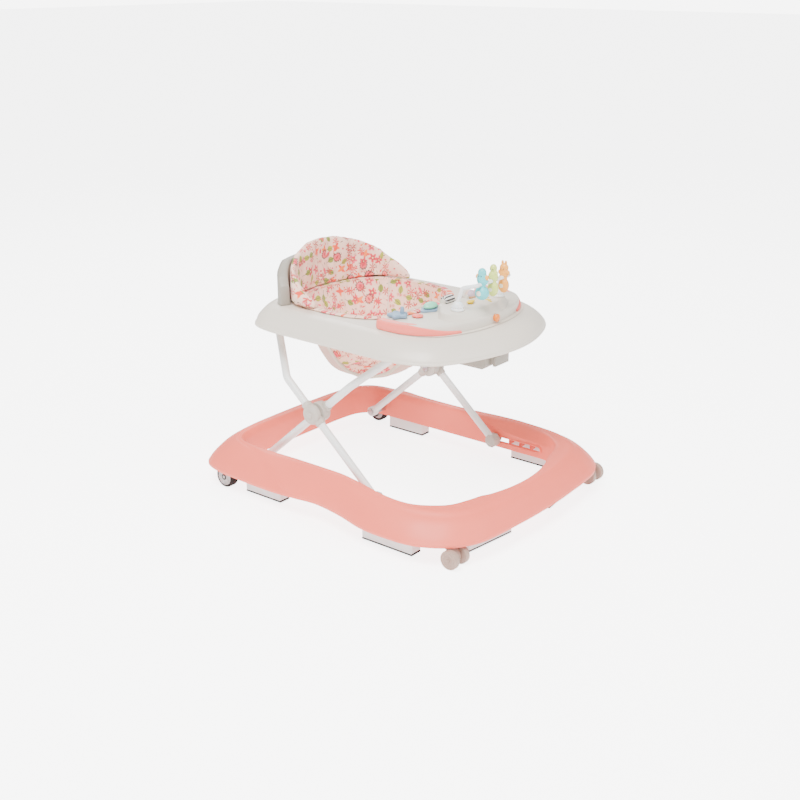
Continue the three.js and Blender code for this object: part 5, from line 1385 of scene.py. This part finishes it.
# the side that faces the child carries the print
mid = Vector(((CXS + SX) / 1000, 0, 0.33))
vote = 0.0
for p in me.polygons:
    d = p.center - mid
    vote += p.normal.dot(Vector((d.x, d.y, 0))) * p.area
if vote > 0:
    me.flip_normals()
AREA = sum(p.area for p in me.polygons)
apply_all(sling)
me = sling.data
for p in me.polygons:
    p.use_smooth = True
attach(sling, "tray")
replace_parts(sling, "seat_sling")
STREE = BVHTree.FromObject(sling, bpy.context.evaluated_depsgraph_get())


def tape(path, width, thick, out, closed=True, n=12):
    """Flat tape folded over an edge: an oval section, wide along out."""
    p = np.asarray(path, float)
    k = len(p)
    t = (np.roll(p, -1, 0) - np.roll(p, 1, 0)) if closed else np.gradient(p, axis=0)
    t /= np.maximum(np.linalg.norm(t, axis=1)[:, None], 1e-9)
    o = np.asarray(out, float)
    o = o - t * np.sum(o * t, axis=1)[:, None]
    o /= np.maximum(np.linalg.norm(o, axis=1)[:, None], 1e-9)
    b = np.cross(t, o)
    v = []
    for i in range(k):
        for j in range(n):
            a = 2 * math.pi * j / n
            ca, sa = math.cos(a), math.sin(a)
            ex = math.copysign(abs(ca) ** 0.7, ca), math.copysign(abs(sa) ** 0.7, sa)
            v.append(p[i] + width / 2 * ex[0] * o[i] + thick / 2 * ex[1] * b[i])
    f = grid_faces(k, n, closed, True)
    if not closed:
        f += [tuple(range(n)), tuple((k - 1) * n + j for j in range(n))[::-1]]
    return v, f


def resample(path, step, closed=True):
    p = np.asarray(path, float)
    q = np.vstack([p, p[:1]]) if closed else p
    s = np.concatenate([[0], np.cumsum(np.linalg.norm(np.diff(q, axis=0), axis=1))])
    n = max(8, int(s[-1] / step))
    u = np.linspace(0, s[-1], n + (0 if closed else 1), endpoint=not closed)
    return np.column_stack([np.interp(u, s, q[:, k]) for k in range(3)])


def smooth_path(p, times, closed=True):
    for _ in range(times):
        if closed:
            p = (np.roll(p, 1, 0) + 2 * p + np.roll(p, -1, 0)) / 4
        else:
            p[1:-1] = (p[:-2] + 2 * p[1:-1] + p[2:]) / 4
    return p


TAPES = []
for lp in EDGES:
    if len(lp) < 30:
        continue
    if lp[:, 2].min() > 396:
        continue                       # the top hem is made below
    q = smooth_path(resample(lp, 3.5), 3)
    c = q.mean(0)
    v, f = tape(q, 7.0, 4.4, q - c)
    side = "left" if c[1] > 0 else "right"
    ob = raw("leg_binding_" + side, v, f)
    uv_cloth(ob, lambda x, y, z, n: (x / 1000 + y / 2000, z / 1000))
    finish_mesh(ob, "tray", "fabric", [], M["binding"], angle=80)
    TAPES.append(ob)
# hem lying on the tray round the opening
hem = []
d = hole - [CXS, 0]
d /= np.linalg.norm(d, axis=1)[:, None]
for k, (hp, dd) in enumerate(zip(hole, d)):
    a = math.atan2(hp[1], hp[0] - CXS)
    hem.append([hp[0] + dd[0] * (2.6 + 0.5 * math.sin(a * 19)), hp[1] + dd[1] * (2.6 + 0.5 * math.sin(a * 19)), 400.3 + 0.25 * math.sin(a * 23 + 1)])
hem = smooth_path(resample(np.array(hem), 4.0), 1)
outd = hem - np.array([CXS, 0, 400.3])
outd[:, 2] = -0.5
v, f = tape(hem, 15.0, 3.4, outd, n=16)
ob = raw("seat_hem", v, f)
layer_ang = lambda x, y, z, n: (arc[int(np.argmin(np.hypot(hole[:, 0] - x, hole[:, 1] - y)))] / 1000, 0.45 + z / 1000)
uv_cloth(ob, layer_ang)
finish_mesh(ob, "tray", "fabric", [], M["print"], angle=80)
HTREE = BVHTree.FromObject(ob, bpy.context.evaluated_depsgraph_get())
hem_obj = ob

# seams: an upright one on each side, dashed stitches along the top round the opening
lines = []
for ang in (118, -118, 172, 188):
    a = math.radians(ang)
    j = int(np.argmin(np.abs(np.arctan2(hole[:, 1], hole[:, 0] - CXS) - math.atan2(math.sin(a), math.cos(a)))))
    for dd in (-1, 1):
        jj = (j + dd) % NU
        col = np.array([rows[r][j] * 0.5 + (rows[r][j] + rows[r][jj]) * 0.25 for r in range(3, 34)])
        lines.append(col + [0, 0, 0])
towards = lambda q: (q[0] - CXS, q[1], 0.0)


def inside_start(line, gap=26):
    out = []
    for q in line:
        d = np.array([q[0] - CXS, q[1]])
        l = np.linalg.norm(d)
        out.append([q[0] - d[0] / l * gap, q[1] - d[1] / l * gap, q[2]])
    return out


ln = [inside_start(q) for q in lines]
top = np.array([[CXS + dd[0] * (l - 26), dd[1] * (l - 26), 391.0] for dd, l in zip(d, np.linalg.norm(hole - [CXS, 0], axis=1))])
ln.append(np.vstack([top, top[:1]]))
stitches("sling_stitches", ln, STREE, towards, M["thread"])
# raised cords down the two upright seams
cords = []
for q in lines[::2][:2]:
    path = []
    for p in inside_start(q):
        h = on_cloth(STREE, p, towards(p), -0.3)
        if h is not None and (leg_v(h[0], h[2]) > 1.12):
            path.append(h)
    if len(path) > 8:
        cords.append(sweep(smooth_path(np.array(path), 2, False), 1.5, 10))
if cords:
    ob = raw("sling_piping", *merge(cords))
    uv_cloth(ob, lambda x, y, z, n: (x / 1000, z / 1000))
    finish_mesh(ob, "tray", "fabric", [], M["binding"], angle=80)
print("SLING AREA", round(AREA, 4))

# ------------------------------------------------------------------ CAD nodes that show as they are
CAD_LOOK = {
    "sole": ("rubber", 0.0006), "pad": ("white", 0.0022), "rear_wheel_bracket": ("dark", 0.0008), "pivot_pin": ("steel", 0.0003),
    "hub_pin": ("steel", 0.0003), "rear_hinge_block": ("support", 0.0012), "height_rack": ("support", 0.0008), "height_latch": ("support", 0.0008),
    "slider_foot": ("hub", 0.0012), "caster_fork": ("caster", 0.0009), "button_plate": ("slate", 0.001),
}
replaced = set()
for o in scene.objects:
    replaced |= set(o.get("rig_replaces", []))
for name, o in NODES.items():
    if name in replaced:
        continue
    key = next((k for k in CAD_LOOK if k in name), None)
    if key is None:
        print("CAD NODE WITHOUT A LOOK", name)
        continue
    slot_name, width = CAD_LOOK[key]
    o.data.materials.clear()
    o.data.materials.append(M[slot_name])
    w = o.modifiers.new("weld", "WELD")
    w.merge_threshold = 1e-5
    b = o.modifiers.new("edge", "BEVEL")
    b.width, b.segments, b.limit_method, b.angle_limit = width, 3, "ANGLE", math.radians(32)
    b.harden_normals = False
    s = o.modifiers.new("shade", "EDGE_SPLIT")
    s.split_angle = math.radians(50)
    for p in o.data.polygons:
        p.use_smooth = True

# ------------------------------------------------------------------ floor, light and camera
fl = bpy.data.meshes.new("studio_floor")
q = 25.0
fl.from_pydata([(-q, -q, 0), (q, -q, 0), (q, q, 0), (-q, q, 0)], [], [(0, 1, 2, 3)])
floor = bpy.data.objects.new("studio_floor", fl)
scene.collection.objects.link(floor)
n = Net("floor_paper")
cc = n.coords()
n.set(Base_Color=n.mix(n.remap(n.noise(cc, 1.5, 2), 0.3, 0.7, 0, 1), lin(250, 250, 250), lin(253, 253, 253)), Roughness=0.9)
n.b.inputs["Specular IOR Level"].default_value = 0.1
n.b.inputs["Emission Color"].default_value = (1, 1, 1, 1)
ray = n.node("ShaderNodeLightPath")
n.put(n.b.inputs["Emission Strength"], n.remap(ray.outputs["Is Camera Ray"], 0, 1, FLOOR, 5.0))
fl.materials.append(n.mat)

world = bpy.data.worlds.new("studio") if not scene.world else scene.world
scene.world = world
world.use_nodes = True
bg = world.node_tree.nodes.get("Background") or world.node_tree.nodes.new("ShaderNodeBackground")
bg.inputs["Color"].default_value = (1, 0.995, 0.985, 1)
wt = world.node_tree
lp = wt.nodes.new("ShaderNodeLightPath")
st = wt.nodes.new("ShaderNodeMapRange")
wt.links.new(lp.outputs["Is Camera Ray"], st.inputs[0])
st.inputs[3].default_value, st.inputs[4].default_value = WORLD, 7.0
wt.links.new(st.outputs[0], bg.inputs["Strength"])


def area(name, loc, aim, size, power, colour=(1, 1, 1)):
    d = bpy.data.lights.new(name, "AREA")
    d.shape, d.size, d.energy, d.color = "DISK", size, power, colour
    o = bpy.data.objects.new(name, d)
    scene.collection.objects.link(o)
    o.location = loc
    o.rotation_euler = (Vector(loc) - Vector(aim)).to_track_quat("Z", "Y").to_euler()


area("key", (0.4, -1.4, 2.7), (0, 0, 0.2), 1.7, KEY, (1, 0.99, 0.975))
area("fill", (2.4, 0.6, 1.8), (0, 0, 0.25), 1.8, FILL, (1, 0.985, 0.97))
area("back", (-1.8, 1.6, 2.2), (0, 0, 0.3), 1.5, BACKL, (0.98, 0.99, 1))

cam = bpy.data.cameras.new("camera")
cam.sensor_width, cam.lens = 36.0, 54.31
co = bpy.data.objects.new("camera", cam)
scene.collection.objects.link(co)
co.location = (1.49826, -1.88781, 1.05971)
az, el = math.radians(38.58), math.radians(19.93)
co.rotation_euler = Vector((math.sin(az) * math.cos(el), -math.cos(az) * math.cos(el), math.sin(el))).to_track_quat("Z", "Y").to_euler()
scene.camera = co
